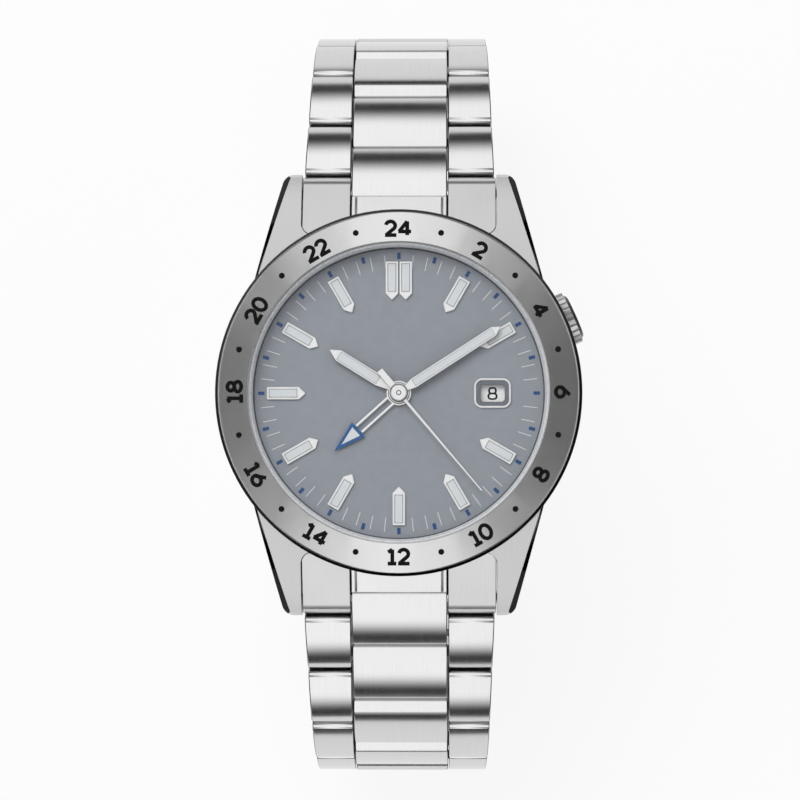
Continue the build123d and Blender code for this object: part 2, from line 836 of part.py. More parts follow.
with BuildPart() as wheel_24_hour:
    with BuildSketch(Plane.XY.offset(world_wheel_bottom)):
        with BuildLine():
            Polyline(*tooth_points(world_wheel_radius, world_wheel_teeth), close=True)
        make_face()
    extrude(amount=wheel_thickness)
    with BuildSketch(Plane.XY.offset(world_wheel_bottom)):
        Circle(world_pipe_radius)
    extrude(amount=world_hand_height + hand_thickness - world_wheel_bottom)
    with BuildSketch(Plane.XY.offset(world_wheel_bottom)):
        Circle(world_pipe_bore)
    extrude(amount=world_hand_height + hand_thickness - world_wheel_bottom, mode=Mode.SUBTRACT)

save(wheel_24_hour, "wheel_24_hour")

with BuildPart() as seconds_arbor:
    with BuildSketch(Plane.XY.offset(pinion_bottom)):
        Circle(seconds_arbor_radius)
    extrude(amount=seconds_hand_height + hand_thickness - pinion_bottom)

save(seconds_arbor, "seconds_arbor")


# Hour and minute hands: pointed batons on a round hub, with a lume pocket
def baton_hand(height, angle, length, width, point, root, hub_radius, pipe_radius):
    """Returns a hand and its lume strip."""
    plane = clock_plane(angle, height)
    strip_length = length - point - root
    strip_middle = root + strip_length / 2
    strip_width = width - 2 * hand_rim
    with BuildPart() as hand:
        with BuildSketch(plane):
            with BuildLine():
                Polyline(
                    (0, length),
                    (width / 2, length - point),
                    (width / 2, root),
                    (hand_neck_width / 2, hub_radius),
                    (hand_neck_width / 2, 0),
                    (-hand_neck_width / 2, 0),
                    (-hand_neck_width / 2, hub_radius),
                    (-width / 2, root),
                    (-width / 2, length - point),
                    close=True,
                )
            make_face()
            Circle(hub_radius)
            Circle(pipe_radius + press_clearance, mode=Mode.SUBTRACT)
        extrude(amount=hand_thickness)
        with BuildSketch(plane.offset(hand_thickness - hand_lume_depth)):
            with Locations((0, strip_middle)):
                Rectangle(strip_width, strip_length)
        extrude(amount=hand_lume_depth, mode=Mode.SUBTRACT)
    with BuildPart() as strip:
        with BuildSketch(plane.offset(hand_thickness - hand_lume_depth)):
            with Locations((0, strip_middle)):
                Rectangle(strip_width - 2 * press_clearance, strip_length - 2 * press_clearance)
        extrude(amount=hand_lume_depth - press_clearance)
    return hand, strip


hour_hand, hour_hand_lume = baton_hand(
    hour_hand_height,
    hour_hand_angle,
    hour_hand_length,
    hour_hand_width,
    hour_hand_point,
    hour_hand_root,
    hour_hub_radius,
    hour_pipe_radius,
)
save(hour_hand, "hour_hand")
save(hour_hand_lume, "hour_hand_lume")

minute_hand, minute_hand_lume = baton_hand(
    minute_hand_height,
    minute_hand_angle,
    minute_hand_length,
    minute_hand_width,
    minute_hand_point,
    minute_hand_root,
    minute_hub_radius,
    minute_pipe_radius,
)
save(minute_hand, "minute_hand")
save(minute_hand_lume, "minute_hand_lume")

# 24-hour hand: an arrow head carried on two thin rods
world_plane = clock_plane(world_hand_angle, world_hand_height)
arrow_half = world_arrow_width / 2
arrow_length = world_hand_length - world_arrow_base
arrow_edge = sqrt(arrow_half**2 + arrow_length**2)
arrow_lume_base = world_arrow_base + world_arrow_rim
arrow_lume_tip = world_hand_length - world_arrow_rim * arrow_edge / arrow_half
arrow_lume_half = (arrow_lume_tip - arrow_lume_base) * arrow_half / arrow_length


def arrow_lume_points(inset):
    """Corners of the triangle of lume inside the arrow head, drawn in by the inset."""
    return (
        (0, arrow_lume_tip - inset * arrow_edge / arrow_half),
        (arrow_lume_half - 2 * inset, arrow_lume_base + inset),
        (-arrow_lume_half + 2 * inset, arrow_lume_base + inset),
    )


with BuildPart() as hand_24_hour:
    with BuildSketch(world_plane):
        for rod_side in (1, -1):
            with Locations((rod_side * world_rod_spacing / 2, world_arrow_base / 2)):
                Rectangle(world_rod_width, world_arrow_base + world_rod_width)
        with BuildLine():
            Polyline(
                (0, world_hand_length),
                (arrow_half, world_arrow_base),
                (-arrow_half, world_arrow_base),
                close=True,
            )
        make_face()
        Circle(world_hub_radius)
        Circle(world_pipe_radius + press_clearance, mode=Mode.SUBTRACT)
    extrude(amount=hand_thickness)
    with BuildSketch(world_plane.offset(hand_thickness - hand_lume_depth)):
        with BuildLine():
            Polyline(*arrow_lume_points(0), close=True)
        make_face()
    extrude(amount=hand_lume_depth, mode=Mode.SUBTRACT)

save(hand_24_hour, "hand_24_hour")

with BuildPart() as hand_24_hour_lume:
    with BuildSketch(world_plane.offset(hand_thickness - hand_lume_depth)):
        with BuildLine():
            Polyline(*arrow_lume_points(press_clearance), close=True)
        make_face()
    extrude(amount=hand_lume_depth - press_clearance)

save(hand_24_hour_lume, "hand_24_hour_lume")

# Seconds hand: a tapering needle with a straight counterweight and a capped hub
seconds_plane = clock_plane(seconds_hand_angle, seconds_hand_height)

with BuildPart() as seconds_hand:
    with BuildSketch(seconds_plane):
        with BuildLine():
            Polyline(
                (seconds_tip_width / 2, seconds_hand_length),
                (seconds_hand_width / 2, 0),
                (seconds_tail_width / 2, 0),
                (seconds_tail_width / 2, -seconds_tail_length),
                (-seconds_tail_width / 2, -seconds_tail_length),
                (-seconds_tail_width / 2, 0),
                (-seconds_hand_width / 2, 0),
                (-seconds_tip_width / 2, seconds_hand_length),
                close=True,
            )
        make_face()
    extrude(amount=hand_thickness)
    with BuildSketch(seconds_plane):
        Circle(seconds_hub_radius)
    extrude(amount=seconds_hub_height)
    with BuildSketch(seconds_plane):
        Circle(seconds_arbor_radius + press_clearance)
    extrude(amount=hand_thickness + press_clearance, mode=Mode.SUBTRACT)

save(seconds_hand, "seconds_hand")

# Crown: a fluted button with a skirt that covers the tube, on the winding stem
crown_bore_depth = crown_length - stem_grip

crown_outline = []
for flute in range(2 * crown_flutes):
    flute_turn = pi * flute / crown_flutes
    flute_reach = crown_radius - (flute % 2) * crown_flute_depth
    crown_outline.append((flute_reach * cos(flute_turn), flute_reach * sin(flute_turn)))

with BuildPart() as crown:
    with BuildSketch(crown_plane.offset(crown_back)):
        with BuildLine():
            Polyline(*crown_outline, close=True)
        make_face()
    extrude(amount=crown_length - crown_chamfer)
    with BuildSketch(crown_plane.offset(crown_face - crown_chamfer)):
        Circle(crown_radius - crown_flute_depth)
    extrude(amount=crown_chamfer, taper=crown_face_taper)
    with BuildSketch(crown_plane.offset(crown_back)):
        Circle(tube_radius + running_clearance)
    extrude(amount=crown_bore_depth, mode=Mode.SUBTRACT)
    with BuildSketch(crown_plane.offset(crown_back + crown_bore_depth)):
        Circle(stem_radius + press_clearance)
    extrude(amount=stem_grip / 2, mode=Mode.SUBTRACT)

save(crown, "crown")

stem_length = crown_back + crown_bore_depth + stem_grip / 2 - stem_inner_end

with BuildPart() as winding_stem:
    with BuildSketch(crown_plane.offset(stem_inner_end)):
        Circle(stem_radius)
    extrude(amount=stem_length)

save(winding_stem, "winding_stem")

with BuildPart() as crown_tube:
    with BuildSketch(crown_plane.offset(tube_inner_end)):
        Circle(tube_radius)
        Circle(tube_bore, mode=Mode.SUBTRACT)
    extrude(amount=tube_length)

save(crown_tube, "crown_tube")

lever_height = plate_top - plate_bottom - lever_room
lever_bottom = plate_bottom + lever_room / 2

with BuildPart() as setting_lever:
    with BuildSketch(clock_plane(90 - crown_angle, lever_bottom)):
        with Locations((0, lever_start + lever_length / 2)):
            Rectangle(lever_width, lever_length)
    extrude(amount=lever_height)
    with BuildSketch(crown_plane.offset(lever_start)):
        Circle(stem_radius + running_clearance)
    extrude(amount=lever_length, mode=Mode.SUBTRACT)

save(setting_lever, "setting_lever")

# Spring bars: a body between the lugs with a thin tip in each lug
bar_half_length = lug_gap / 2 - seat_clearance

with BuildPart() as spring_bars:
    for bar_side in (1, -1):
        with BuildSketch(Plane.YZ):
            with Locations((bar_side * bar_y, bar_height)):
                RegularPolygon(bar_radius, pin_sides)
        extrude(amount=bar_half_length, both=True)
        with BuildSketch(Plane.YZ):
            with Locations((bar_side * bar_y, bar_height)):
                RegularPolygon(bar_tip_radius, pin_sides)
        extrude(amount=lug_gap / 2 + bar_tip_reach, both=True)

save(spring_bars, "spring_bars")

# End links: fill the space between the lugs and hold the first link on the spring bar
half_thickness = link_thickness / 2
slope = radians(end_link_slope)
relief = link_reach + link_gap
tangent_y = bar_y + link_reach * sin(slope)
tangent_z = bar_height + link_reach * cos(slope)
slope_rise = sin(slope) / cos(slope)
end_root_y = lug_shoulder_y - cut_overrun
end_top_z = case_top - end_link_under_bezel
end_top_y = tangent_y - (end_top_z - tangent_z) / slope_rise
lip_foot_z = bar_height + sqrt(relief**2 - (bar_y - end_link_lip_y) ** 2)
relief_end_z = bar_height - relief * sin(slope)
relief_end_y = bar_y - relief * cos(slope)
end_bottom_y = bar_y + sqrt(link_reach**2 - (bar_height - end_link_bottom) ** 2)
groove_x = end_link_groove_depth * sin(slope)
groove_z = end_link_groove_depth * cos(slope)


def end_link(side):
    """The end link at 12 o'clock (side 1) or at 6 o'clock (side -1)."""
    side_plane = Plane(origin=(0, 0, 0), x_dir=(0, side, 0), z_dir=(side, 0, 0))
    inner_ear = centre_width / 2 + link_side_gap
    with BuildPart() as piece:
        with BuildSketch(side_plane):
            with BuildLine():
                Polyline(
                    (end_bottom_y, end_link_bottom),
                    (end_root_y, end_link_bottom),
                    (end_root_y, end_top_z),
                    (end_top_y, end_top_z),
                    (tangent_y, tangent_z),
                )
                ThreePointArc(
                    (tangent_y, tangent_z),
                    (bar_y + link_reach, bar_height),
                    (end_bottom_y, end_link_bottom),
                )
            make_face()
        extrude(amount=end_link_width / 2, both=True)
        with BuildSketch(side_plane):
            with BuildLine():
                Polyline(
                    (relief_end_y, relief_end_z),
                    (relief_end_y, end_link_bottom - cut_overrun),
                    (lug_tip_y + cut_overrun, end_link_bottom - cut_overrun),
                    (lug_tip_y + cut_overrun, case_top),
                    (end_link_lip_y, case_top),
                    (end_link_lip_y, lip_foot_z),
                )
                ThreePointArc(
                    (end_link_lip_y, lip_foot_z),
                    (bar_y - relief, bar_height),
                    (relief_end_y, relief_end_z),
                )
            make_face()
        extrude(amount=inner_ear, both=True, mode=Mode.SUBTRACT)
        with BuildSketch(side_plane):
            with Locations((bar_y, bar_height)):
                RegularPolygon(bar_radius + press_clearance, pin_sides, major_radius=False)
        extrude(amount=end_link_width, both=True, mode=Mode.SUBTRACT)
        for groove in (centre_width / 2 - end_link_border, inner_ear - end_link_groove):
            for edge in (groove, -groove - end_link_groove):
                with BuildSketch(side_plane.offset(edge)):
                    Polygon(
                        (end_top_y - groove_x, end_top_z - groove_z),
                        (tangent_y - groove_x, tangent_z - groove_z),
                        (tangent_y + groove_x, tangent_z + groove_z),
                        (end_top_y + groove_x, end_top_z + groove_z),
                        align=None,
                    )
                extrude(amount=end_link_groove, mode=Mode.SUBTRACT)
        with BuildSketch() as corner_plan:
            corner_radius = lug_foot_round - seat_clearance
            ring_side = foot_point(corner_radius, foot_turn - pi)
            middle = foot_point(corner_radius, (foot_turn - pi) / 2)
            wall_side = foot_point(corner_radius, 0)
            with BuildLine():
                Polyline(
                    (ring_side[0], side * ring_side[1]),
                    (ring_side[0], side * lug_base_y),
                    (lug_gap, side * lug_base_y),
                    (lug_gap, side * wall_side[1]),
                    (wall_side[0], side * wall_side[1]),
                )
                ThreePointArc(
                    (wall_side[0], side * wall_side[1]),
                    (middle[0], side * middle[1]),
                    (ring_side[0], side * ring_side[1]),
                )
            make_face()
            mirror(about=Plane.YZ)
            Circle(case_radius + seat_clearance)
        extrude(amount=case_top, mode=Mode.SUBTRACT)
    return piece


save(end_link(1), "end_link_12")
save(end_link(-1), "end_link_6")

# Hinge points of one half of the bracelet, from the spring bar round to the clasp
hinge_points = [(bar_y, bar_height)]
for loop_slope in loop_slopes:
    last_y, last_z = hinge_points[-1]
    fall = radians(loop_slope)
    hinge_points.append((last_y + link_pitch * cos(fall), last_z - link_pitch * sin(fall)))

end_chord = sqrt(link_reach**2 - half_thickness**2)


def link_width(distance):
    """Full width of the bracelet at a distance along it from the spring bar."""
    return bracelet_width - bracelet_taper_share * distance


def bracelet_link(side, number):
    """One link: a centre piece hinged on the link before it and a pair of outer
    pieces joined by the pin that carries the next link."""
    start_y, start_z = hinge_points[number]
    fall = radians(loop_slopes[number])
    along = (0, side * cos(fall), -sin(fall))
    outward = (0, side * sin(fall), cos(fall))
    start = (0, side * start_y, start_z)
    side_plane = Plane(origin=start, x_dir=along, z_dir=(side, 0, 0))
    top_plane = Plane(origin=start, x_dir=along, z_dir=outward)
    near_end = relief
    far_end = link_pitch + link_reach
    near_half = link_width(number * link_pitch + near_end) / 2
    far_half = link_width(number * link_pitch + far_end) / 2
    inner_half = centre_width / 2 + link_side_gap
    bore = bar_radius if number == 0 else link_pin_radius
    with BuildPart() as piece:
        with BuildSketch(top_plane) as outer_plan:
            with BuildLine():
                Polyline(
                    (near_end, inner_half),
                    (far_end, inner_half),
                    (far_end, far_half),
                    (near_end, near_half),
                    close=True,
                )
            make_face()
            mirror(about=Plane.XZ)
        extrude(amount=link_thickness, both=True)
        with BuildSketch(side_plane) as outer_side:
            with BuildLine():
                ThreePointArc(
                    (link_pitch + end_chord, -half_thickness),
                    (far_end, 0),
                    (link_pitch + end_chord, half_thickness),
                )
                ThreePointArc(
                    (link_pitch + end_chord, half_thickness),
                    ((link_pitch + end_chord + near_end) / 2, half_thickness + link_dome),
                    (near_end, half_thickness),
                )
                Polyline(
                    (near_end, half_thickness),
                    (near_end, -half_thickness),
                    (link_pitch + end_chord, -half_thickness),
                )
            make_face()
            chamfer(outer_side.vertices().group_by(Axis.X)[0], link_edge)
        extrude(amount=bracelet_width, both=True, mode=Mode.INTERSECT)
        with BuildSketch(side_plane):
            with Locations((link_pitch, 0)):
                RegularPolygon(link_pin_radius, pin_sides)
        extrude(amount=inner_half, both=True)
        with BuildSketch(side_plane) as centre_side:
            with BuildLine():
                ThreePointArc(
                    (-end_chord, half_thickness),
                    (-link_reach, 0),
                    (-end_chord, -half_thickness),
                )
                Polyline(
                    (-end_chord, -half_thickness),
                    (link_pitch - relief, -half_thickness),
                    (link_pitch - relief, half_thickness),
                )
                ThreePointArc(
                    (link_pitch - relief, half_thickness),
                    ((link_pitch - relief - end_chord) / 2, half_thickness + link_dome),
                    (-end_chord, half_thickness),
                )
            make_face()
            chamfer(centre_side.vertices().group_by(Axis.X)[-1], link_edge)
            RegularPolygon(bore + running_clearance, pin_sides, major_radius=False, mode=Mode.SUBTRACT)
        extrude(amount=centre_width / 2, both=True)
    return piece


for number in range(len(loop_slopes)):
    save(bracelet_link(1, number), f"link_12_{number + 1}")
    save(bracelet_link(-1, number), f"link_6_{number + 1}")

# Clasp: its leaves follow one shallow arc between the last hinges of the two halves
clasp_y, clasp_z = hinge_points[-1]
clasp_radius = (clasp_y**2 + clasp_sag**2) / (2 * clasp_sag)
clasp_centre_z = clasp_z - clasp_sag + clasp_radius


def clasp_point(station, depth):
    """A point of the clasp: station along its arc from the middle towards 12 o'clock,
    depth outwards from the arc, away from the wrist."""
    turn = station / clasp_radius
    reach = clasp_radius + depth
    return (reach * sin(turn), clasp_centre_z - reach * cos(turn))


def clasp_leaf(start, stop, inner, outer):
    """Side view of a curved leaf between two stations and two depths."""
    middle = (start + stop) / 2
    with BuildSketch(Plane.YZ) as leaf:
        with BuildLine():
            ThreePointArc(clasp_point(start, inner), clasp_point(middle, inner), clasp_point(stop, inner))
            Line(clasp_point(stop, inner), clasp_point(stop, outer))
            ThreePointArc(clasp_point(stop, outer), clasp_point(middle, outer), clasp_point(start, outer))
            Line(clasp_point(start, outer), clasp_point(start, inner))
        make_face()
    return leaf.sketch


def clasp_round(station, depth, radius):
    """Side view of a round knuckle at a station and depth."""
    with BuildSketch(Plane.YZ) as outline:
        with Locations(clasp_point(station, depth)):
            Circle(radius)
    return outline.sketch


def clasp_bore(station, depth, radius):
    """Side view of a bore whose flats stand at the radius given."""
    with BuildSketch(Plane.YZ) as outline:
        with Locations(clasp_point(station, depth)):
            RegularPolygon(radius, pin_sides, major_radius=False)
    return outline.sketch


def clasp_pin(station, depth, radius):
    """Side view of a pin whose corners stand at the radius given."""
    with BuildSketch(Plane.YZ) as outline:
        with Locations(clasp_point(station, depth)):
            RegularPolygon(radius, pin_sides)
    return outline.sketch


knuckle_clear = fold_knuckle_radius + link_gap
cover_inner_depth = cover_depth - cover_wall
long_leaf_inner = long_blade_depth - blade_thickness
short_leaf_inner = -short_blade_rise - blade_thickness
chain_station = clasp_radius * asin(clasp_y / clasp_radius)
cover_start = chain_station - cover_setback
cover_pin_station = cover_pin_setback - chain_station
fold_station = chain_station - fold_setback
button_station = chain_station - button_setback
chain_root = -cover_start + cover_end_wall
fold_root = fold_station - knuckle_clear
fold_lap = fold_station - 2 * knuckle_clear

# Short blade: hinged to the last link at 6 o'clock, it lies against the wrist
with BuildPart() as clasp_short_blade:
    extrude(
        clasp_leaf(chain_root, fold_root, short_leaf_inner, -short_blade_rise),
        amount=blade_width / 2,
        both=True,
    )
    extrude(
        clasp_leaf(-chain_station, chain_root, short_leaf_inner, -short_blade_rise),
        amount=tongue_width / 2,
        both=True,
    )
    extrude(clasp_round(-chain_station, 0, chain_knuckle_radius), amount=tongue_width / 2, both=True)
    extrude(
        clasp_leaf(fold_lap, fold_station, short_leaf_inner, -short_blade_rise),
        amount=blade_width / 2,
        both=True,
    )
    extrude(clasp_round(fold_station, -fold_rise, fold_knuckle_radius), amount=blade_width / 2, both=True)
    extrude(
        clasp_leaf(fold_root, fold_station + 2 * knuckle_clear, short_leaf_inner - cut_overrun, cover_depth),
        amount=fold_knuckle_width / 2 + link_gap,
        both=True,
        mode=Mode.SUBTRACT,
    )
    extrude(
        clasp_bore(fold_station, -fold_rise, fold_pin_radius + press_clearance),
        amount=blade_width,
        both=True,
        mode=Mode.SUBTRACT,
    )
    extrude(
        clasp_bore(-chain_station, 0, link_pin_radius + running_clearance),
        amount=blade_width,
        both=True,
        mode=Mode.SUBTRACT,
    )

save(clasp_short_blade, "clasp_short_blade")

with BuildPart() as clasp_fold_pin:
    extrude(clasp_pin(fold_station, -fold_rise, fold_pin_radius), amount=blade_width / 2, both=True)

save(clasp_fold_pin, "clasp_fold_pin")

# Long blade: folds under the cover, from the short blade back to the cover's hinge
with BuildPart() as clasp_long_blade:
    extrude(
        clasp_leaf(cover_pin_station, fold_root, long_leaf_inner, long_blade_depth),
        amount=blade_width / 2,
        both=True,
    )
    extrude(
        clasp_round(cover_pin_station, cover_pin_depth, cover_knuckle_radius),
        amount=blade_width / 2,
        both=True,
    )
    extrude(
        clasp_leaf(fold_lap, fold_station, long_leaf_inner, long_blade_depth),
        amount=fold_knuckle_width / 2,
        both=True,
    )
    extrude(
        clasp_round(fold_station, -fold_rise, fold_knuckle_radius),
        amount=fold_knuckle_width / 2,
        both=True,
    )
    extrude(
        clasp_bore(fold_station, -fold_rise, fold_pin_radius + running_clearance),
        amount=blade_width,
        both=True,
        mode=Mode.SUBTRACT,
    )
    extrude(
        clasp_bore(cover_pin_station, cover_pin_depth, cover_pin_radius + running_clearance),
        amount=blade_width,
        both=True,
        mode=Mode.SUBTRACT,
    )

save(clasp_long_blade, "clasp_long_blade")

# Cover: the outer shell of the clasp, with side walls, an end wall and a centre tongue
inner_half_width = cover_width / 2 - cover_wall
tongue_stop = chain_station - link_pin_radius - tongue_gap
button_place = clasp_point(button_station, button_depth)

with BuildPart() as clasp_cover:
    extrude(
        clasp_leaf(-cover_start, cover_start, -cover_side_rise, cover_depth),
        amount=cover_width / 2,
        both=True,
    )
    extrude(
        clasp_leaf(
            -cover_start - cut_overrun,
            cover_start - cover_end_wall,
            -cover_side_rise - cut_overrun,
            cover_inner_depth,
        ),
        amount=inner_half_width,
        both=True,
        mode=Mode.SUBTRACT,
    )
    extrude(
        clasp_leaf(cover_start - cover_end_wall, tongue_stop, -cover_end_rise, cover_inner_depth),
        amount=tongue_width / 2,
        both=True,
    )
    extrude(
        clasp_bore(cover_pin_station, cover_pin_depth, cover_pin_radius + press_clearance),
        amount=cover_width,
        both=True,
        mode=Mode.SUBTRACT,
    )
    with BuildSketch(Plane.YZ) as button_hole:
        with Locations(button_place):
            Rectangle(button_length + 2 * running_clearance, button_width + 2 * running_clearance)
        chamfer(button_hole.vertices(), button_corner)
    extrude(amount=cover_width, both=True, mode=Mode.SUBTRACT)

save(clasp_cover, "clasp_cover")

with BuildPart() as clasp_cover_pin:
    extrude(
        clasp_pin(cover_pin_station, cover_pin_depth, cover_pin_radius),
        amount=cover_width / 2 - press_clearance,
        both=True,
    )

save(clasp_cover_pin, "clasp_cover_pin")


# Push buttons: one in each side wall, pressed together to free the cover
def push_button(side):
    """The button on the +X side (side 1) or the -X side (side -1)."""
    flange_start = inner_half_width - running_clearance - button_flange
    stem_stop = cover_width / 2 + button_proud
    with BuildPart() as piece:
        with BuildSketch(Plane.YZ.offset(side * flange_start)):
            with Locations(button_place):
                Rectangle(button_flange_length, button_flange_width)
        extrude(amount=side * button_flange)
        with BuildSketch(Plane.YZ.offset(side * flange_start)) as stem:
            with Locations(button_place):
                Rectangle(button_length, button_width)
            chamfer(stem.vertices(), button_corner)
        extrude(amount=side * (stem_stop - flange_start))
    return piece


save(push_button(1), "clasp_button_right")
save(push_button(-1), "clasp_button_left")
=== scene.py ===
import json
from math import cos, pi, radians, sin

import bmesh
import bpy
from mathutils import Matrix, Vector


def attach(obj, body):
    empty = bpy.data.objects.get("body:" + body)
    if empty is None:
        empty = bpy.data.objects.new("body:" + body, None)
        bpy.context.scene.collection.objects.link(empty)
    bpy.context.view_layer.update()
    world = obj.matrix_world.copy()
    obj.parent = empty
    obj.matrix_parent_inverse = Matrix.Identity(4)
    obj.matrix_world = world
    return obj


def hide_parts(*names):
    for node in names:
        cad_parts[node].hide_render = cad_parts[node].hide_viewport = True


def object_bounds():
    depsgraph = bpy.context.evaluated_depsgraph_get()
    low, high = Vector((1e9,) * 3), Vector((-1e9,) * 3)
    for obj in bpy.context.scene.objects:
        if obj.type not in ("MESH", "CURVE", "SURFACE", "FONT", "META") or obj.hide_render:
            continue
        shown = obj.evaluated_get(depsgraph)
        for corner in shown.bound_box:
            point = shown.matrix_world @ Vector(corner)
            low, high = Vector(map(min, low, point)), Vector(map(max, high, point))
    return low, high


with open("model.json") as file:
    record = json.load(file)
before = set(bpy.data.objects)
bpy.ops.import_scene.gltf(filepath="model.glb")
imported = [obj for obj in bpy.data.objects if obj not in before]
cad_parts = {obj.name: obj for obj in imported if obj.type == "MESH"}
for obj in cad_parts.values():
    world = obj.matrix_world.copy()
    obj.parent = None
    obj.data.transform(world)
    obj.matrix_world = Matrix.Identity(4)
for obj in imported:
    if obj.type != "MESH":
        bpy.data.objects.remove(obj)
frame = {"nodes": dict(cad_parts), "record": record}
cad_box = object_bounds()

# Mid case. The case ring and its four lugs are milled from one block of steel.
# The tops are satin brushed towards the bracelet, and the long bevels on the
# outer edges of the lugs, the flank's tuck and the crown's pocket are polished; their
# dark reflection is painted into their colour as near black.
MM = 0.001
CLOUD_COUNT = 160.0
GRAIN_DEPTH = 0.0004 * MM


class Wire:
    """An output in a node tree; sums on it add Math nodes to the same tree."""

    def __init__(self, nodes, socket):
        self.nodes = nodes
        self.socket = socket

    def math(self, operation, *others):
        return self.nodes.node("ShaderNodeMath", {"operation": operation}, (self, *others))

    def __add__(self, other):
        return self.math("ADD", other)

    __radd__ = __add__

    def __sub__(self, other):
        return self.math("SUBTRACT", other)

    def __rsub__(self, other):
        return self.nodes.node("ShaderNodeMath", {"operation": "SUBTRACT"}, (other, self))

    def __mul__(self, other):
        return self.math("MULTIPLY", other)

    __rmul__ = __mul__

    def __abs__(self):
        return self.math("ABSOLUTE")

    def ease(self, low, high):
        """0 below low, 1 above high and a smooth climb between them."""
        return self.nodes.node(
            "ShaderNodeMapRange",
            {"interpolation_type": "SMOOTHSTEP"},
            {"Value": self, "From Min": low, "From Max": high},
        )

    def line(self, middle, core, reach):
        """1 within core of the middle and 0 beyond reach of it."""
        return 1 - abs(self - middle).ease(core, reach)

    def slanted(self):
        """For one part of the facing direction: 1 on bevels, 0 on tops and on flanks."""
        return abs(self).ease(0.3, 0.55) * (1 - abs(self).ease(0.93, 0.99))


class Nodes:
    """A shader node tree, with short names for the nodes that the finishes use."""

    MIX_FACTOR = 0
    MIX_FIRST = 6
    MIX_SECOND = 7
    MIX_RESULT = 2

    def __init__(self, tree):
        self.tree = tree

    def plug(self, value, socket):
        """Feeds a socket with a wire or with a constant."""
        if isinstance(value, Wire):
            self.tree.links.new(value.socket, socket)
        else:
            socket.default_value = value

    def node(self, kind, settings, sockets, output=0):
        node = self.tree.nodes.new(kind)
        for setting, value in settings.items():
            setattr(node, setting, value)
        named = sockets.items() if isinstance(sockets, dict) else enumerate(sockets)
        for key, value in named:
            self.plug(value, node.inputs[key])
        return Wire(self, node.outputs[output])

    def axes(self, vector):
        """The three parts of a vector."""
        split = self.node("ShaderNodeSeparateXYZ", {}, {"Vector": vector})
        return [Wire(self, output) for output in split.socket.node.outputs]

    def place(self):
        """Object coordinates, as a vector in metres."""
        return self.node("ShaderNodeTexCoord", {}, (), "Object")

    def facing(self):
        """The three parts of the direction that the surface faces in."""
        return self.axes(self.node("ShaderNodeTexCoord", {}, (), "Normal"))

    def vector(self, x, y, z):
        return self.node("ShaderNodeCombineXYZ", {}, (x, y, z))

    def length(self, x, y):
        """Length of a flat vector."""
        flat = {"Vector": self.vector(x, y, 0.0)}
        return self.node("ShaderNodeVectorMath", {"operation": "LENGTH"}, flat, "Value")

    def radius(self):
        """Distance from the axis of the hands, in millimetres."""
        x, y, _ = self.axes(self.place())
        return self.length(x, y) * 1000

    def noise(self, vector, scale, detail=2.0):
        return self.node(
            "ShaderNodeTexNoise", {}, {"Vector": vector, "Scale": scale, "Detail": detail}
        )

    def stretched(self, x, y, z):
        """Object coordinates with each axis multiplied."""
        return self.node("ShaderNodeMapping", {}, {"Vector": self.place(), "Scale": (x, y, z)})

    def mix(self, mask, first, second):
        """A colour that is the first where the mask is 0 and the second where it is 1."""
        blend = self.node("ShaderNodeMix", {"data_type": "RGBA"}, {self.MIX_FACTOR: mask})
        node = blend.socket.node
        self.plug(first, node.inputs[self.MIX_FIRST])
        self.plug(second, node.inputs[self.MIX_SECOND])
        return Wire(self, node.outputs[self.MIX_RESULT])

    def tone(self, grain, low, high):
        """A grey that follows a grain."""
        return self.mix(grain.ease(0.3, 0.7), grey(low), grey(high))


class Finish(Nodes):
    """A surface finish: a Principled shader whose constants are set on its sockets."""

    def __init__(self, name, **constants):
        self.material = bpy.data.materials.new(name)
        self.material.use_nodes = True
        super().__init__(self.material.node_tree)
        self.shader = self.tree.nodes["Principled BSDF"]
        for socket, value in constants.items():
            self.shader.inputs[socket.replace("_", " ")].default_value = value

    def feed(self, socket, wire):
        self.tree.links.new(wire.socket, self.shader.inputs[socket])

    def bump(self, height, depth):
        sockets = {"Height": height, "Distance": depth}
        self.feed("Normal", self.node("ShaderNodeBump", {}, sockets))


def grey(level):
    return (level, level, level, 1.0)


def grained_steel(name, x, y, z):
    """Steel whose grain runs along the axis with the lowest count, and that grain."""
    finish = Finish(name, Metallic=1.0)
    grain = finish.noise(finish.stretched(x, y, z), 1.0, 3.0)
    finish.bump(grain, GRAIN_DEPTH)
    return finish, grain


def brushed(finish, grain, rough):
    """Gives grained steel the roughness that a brush leaves."""
    cloud = finish.noise(finish.place(), CLOUD_COUNT)
    finish.feed("Roughness", rough + 0.05 * grain + 0.03 * cloud)


WELD_REACH = 0.0005 * MM
FLAT_ANGLE = radians(1)
SHARP_ANGLE = radians(26)


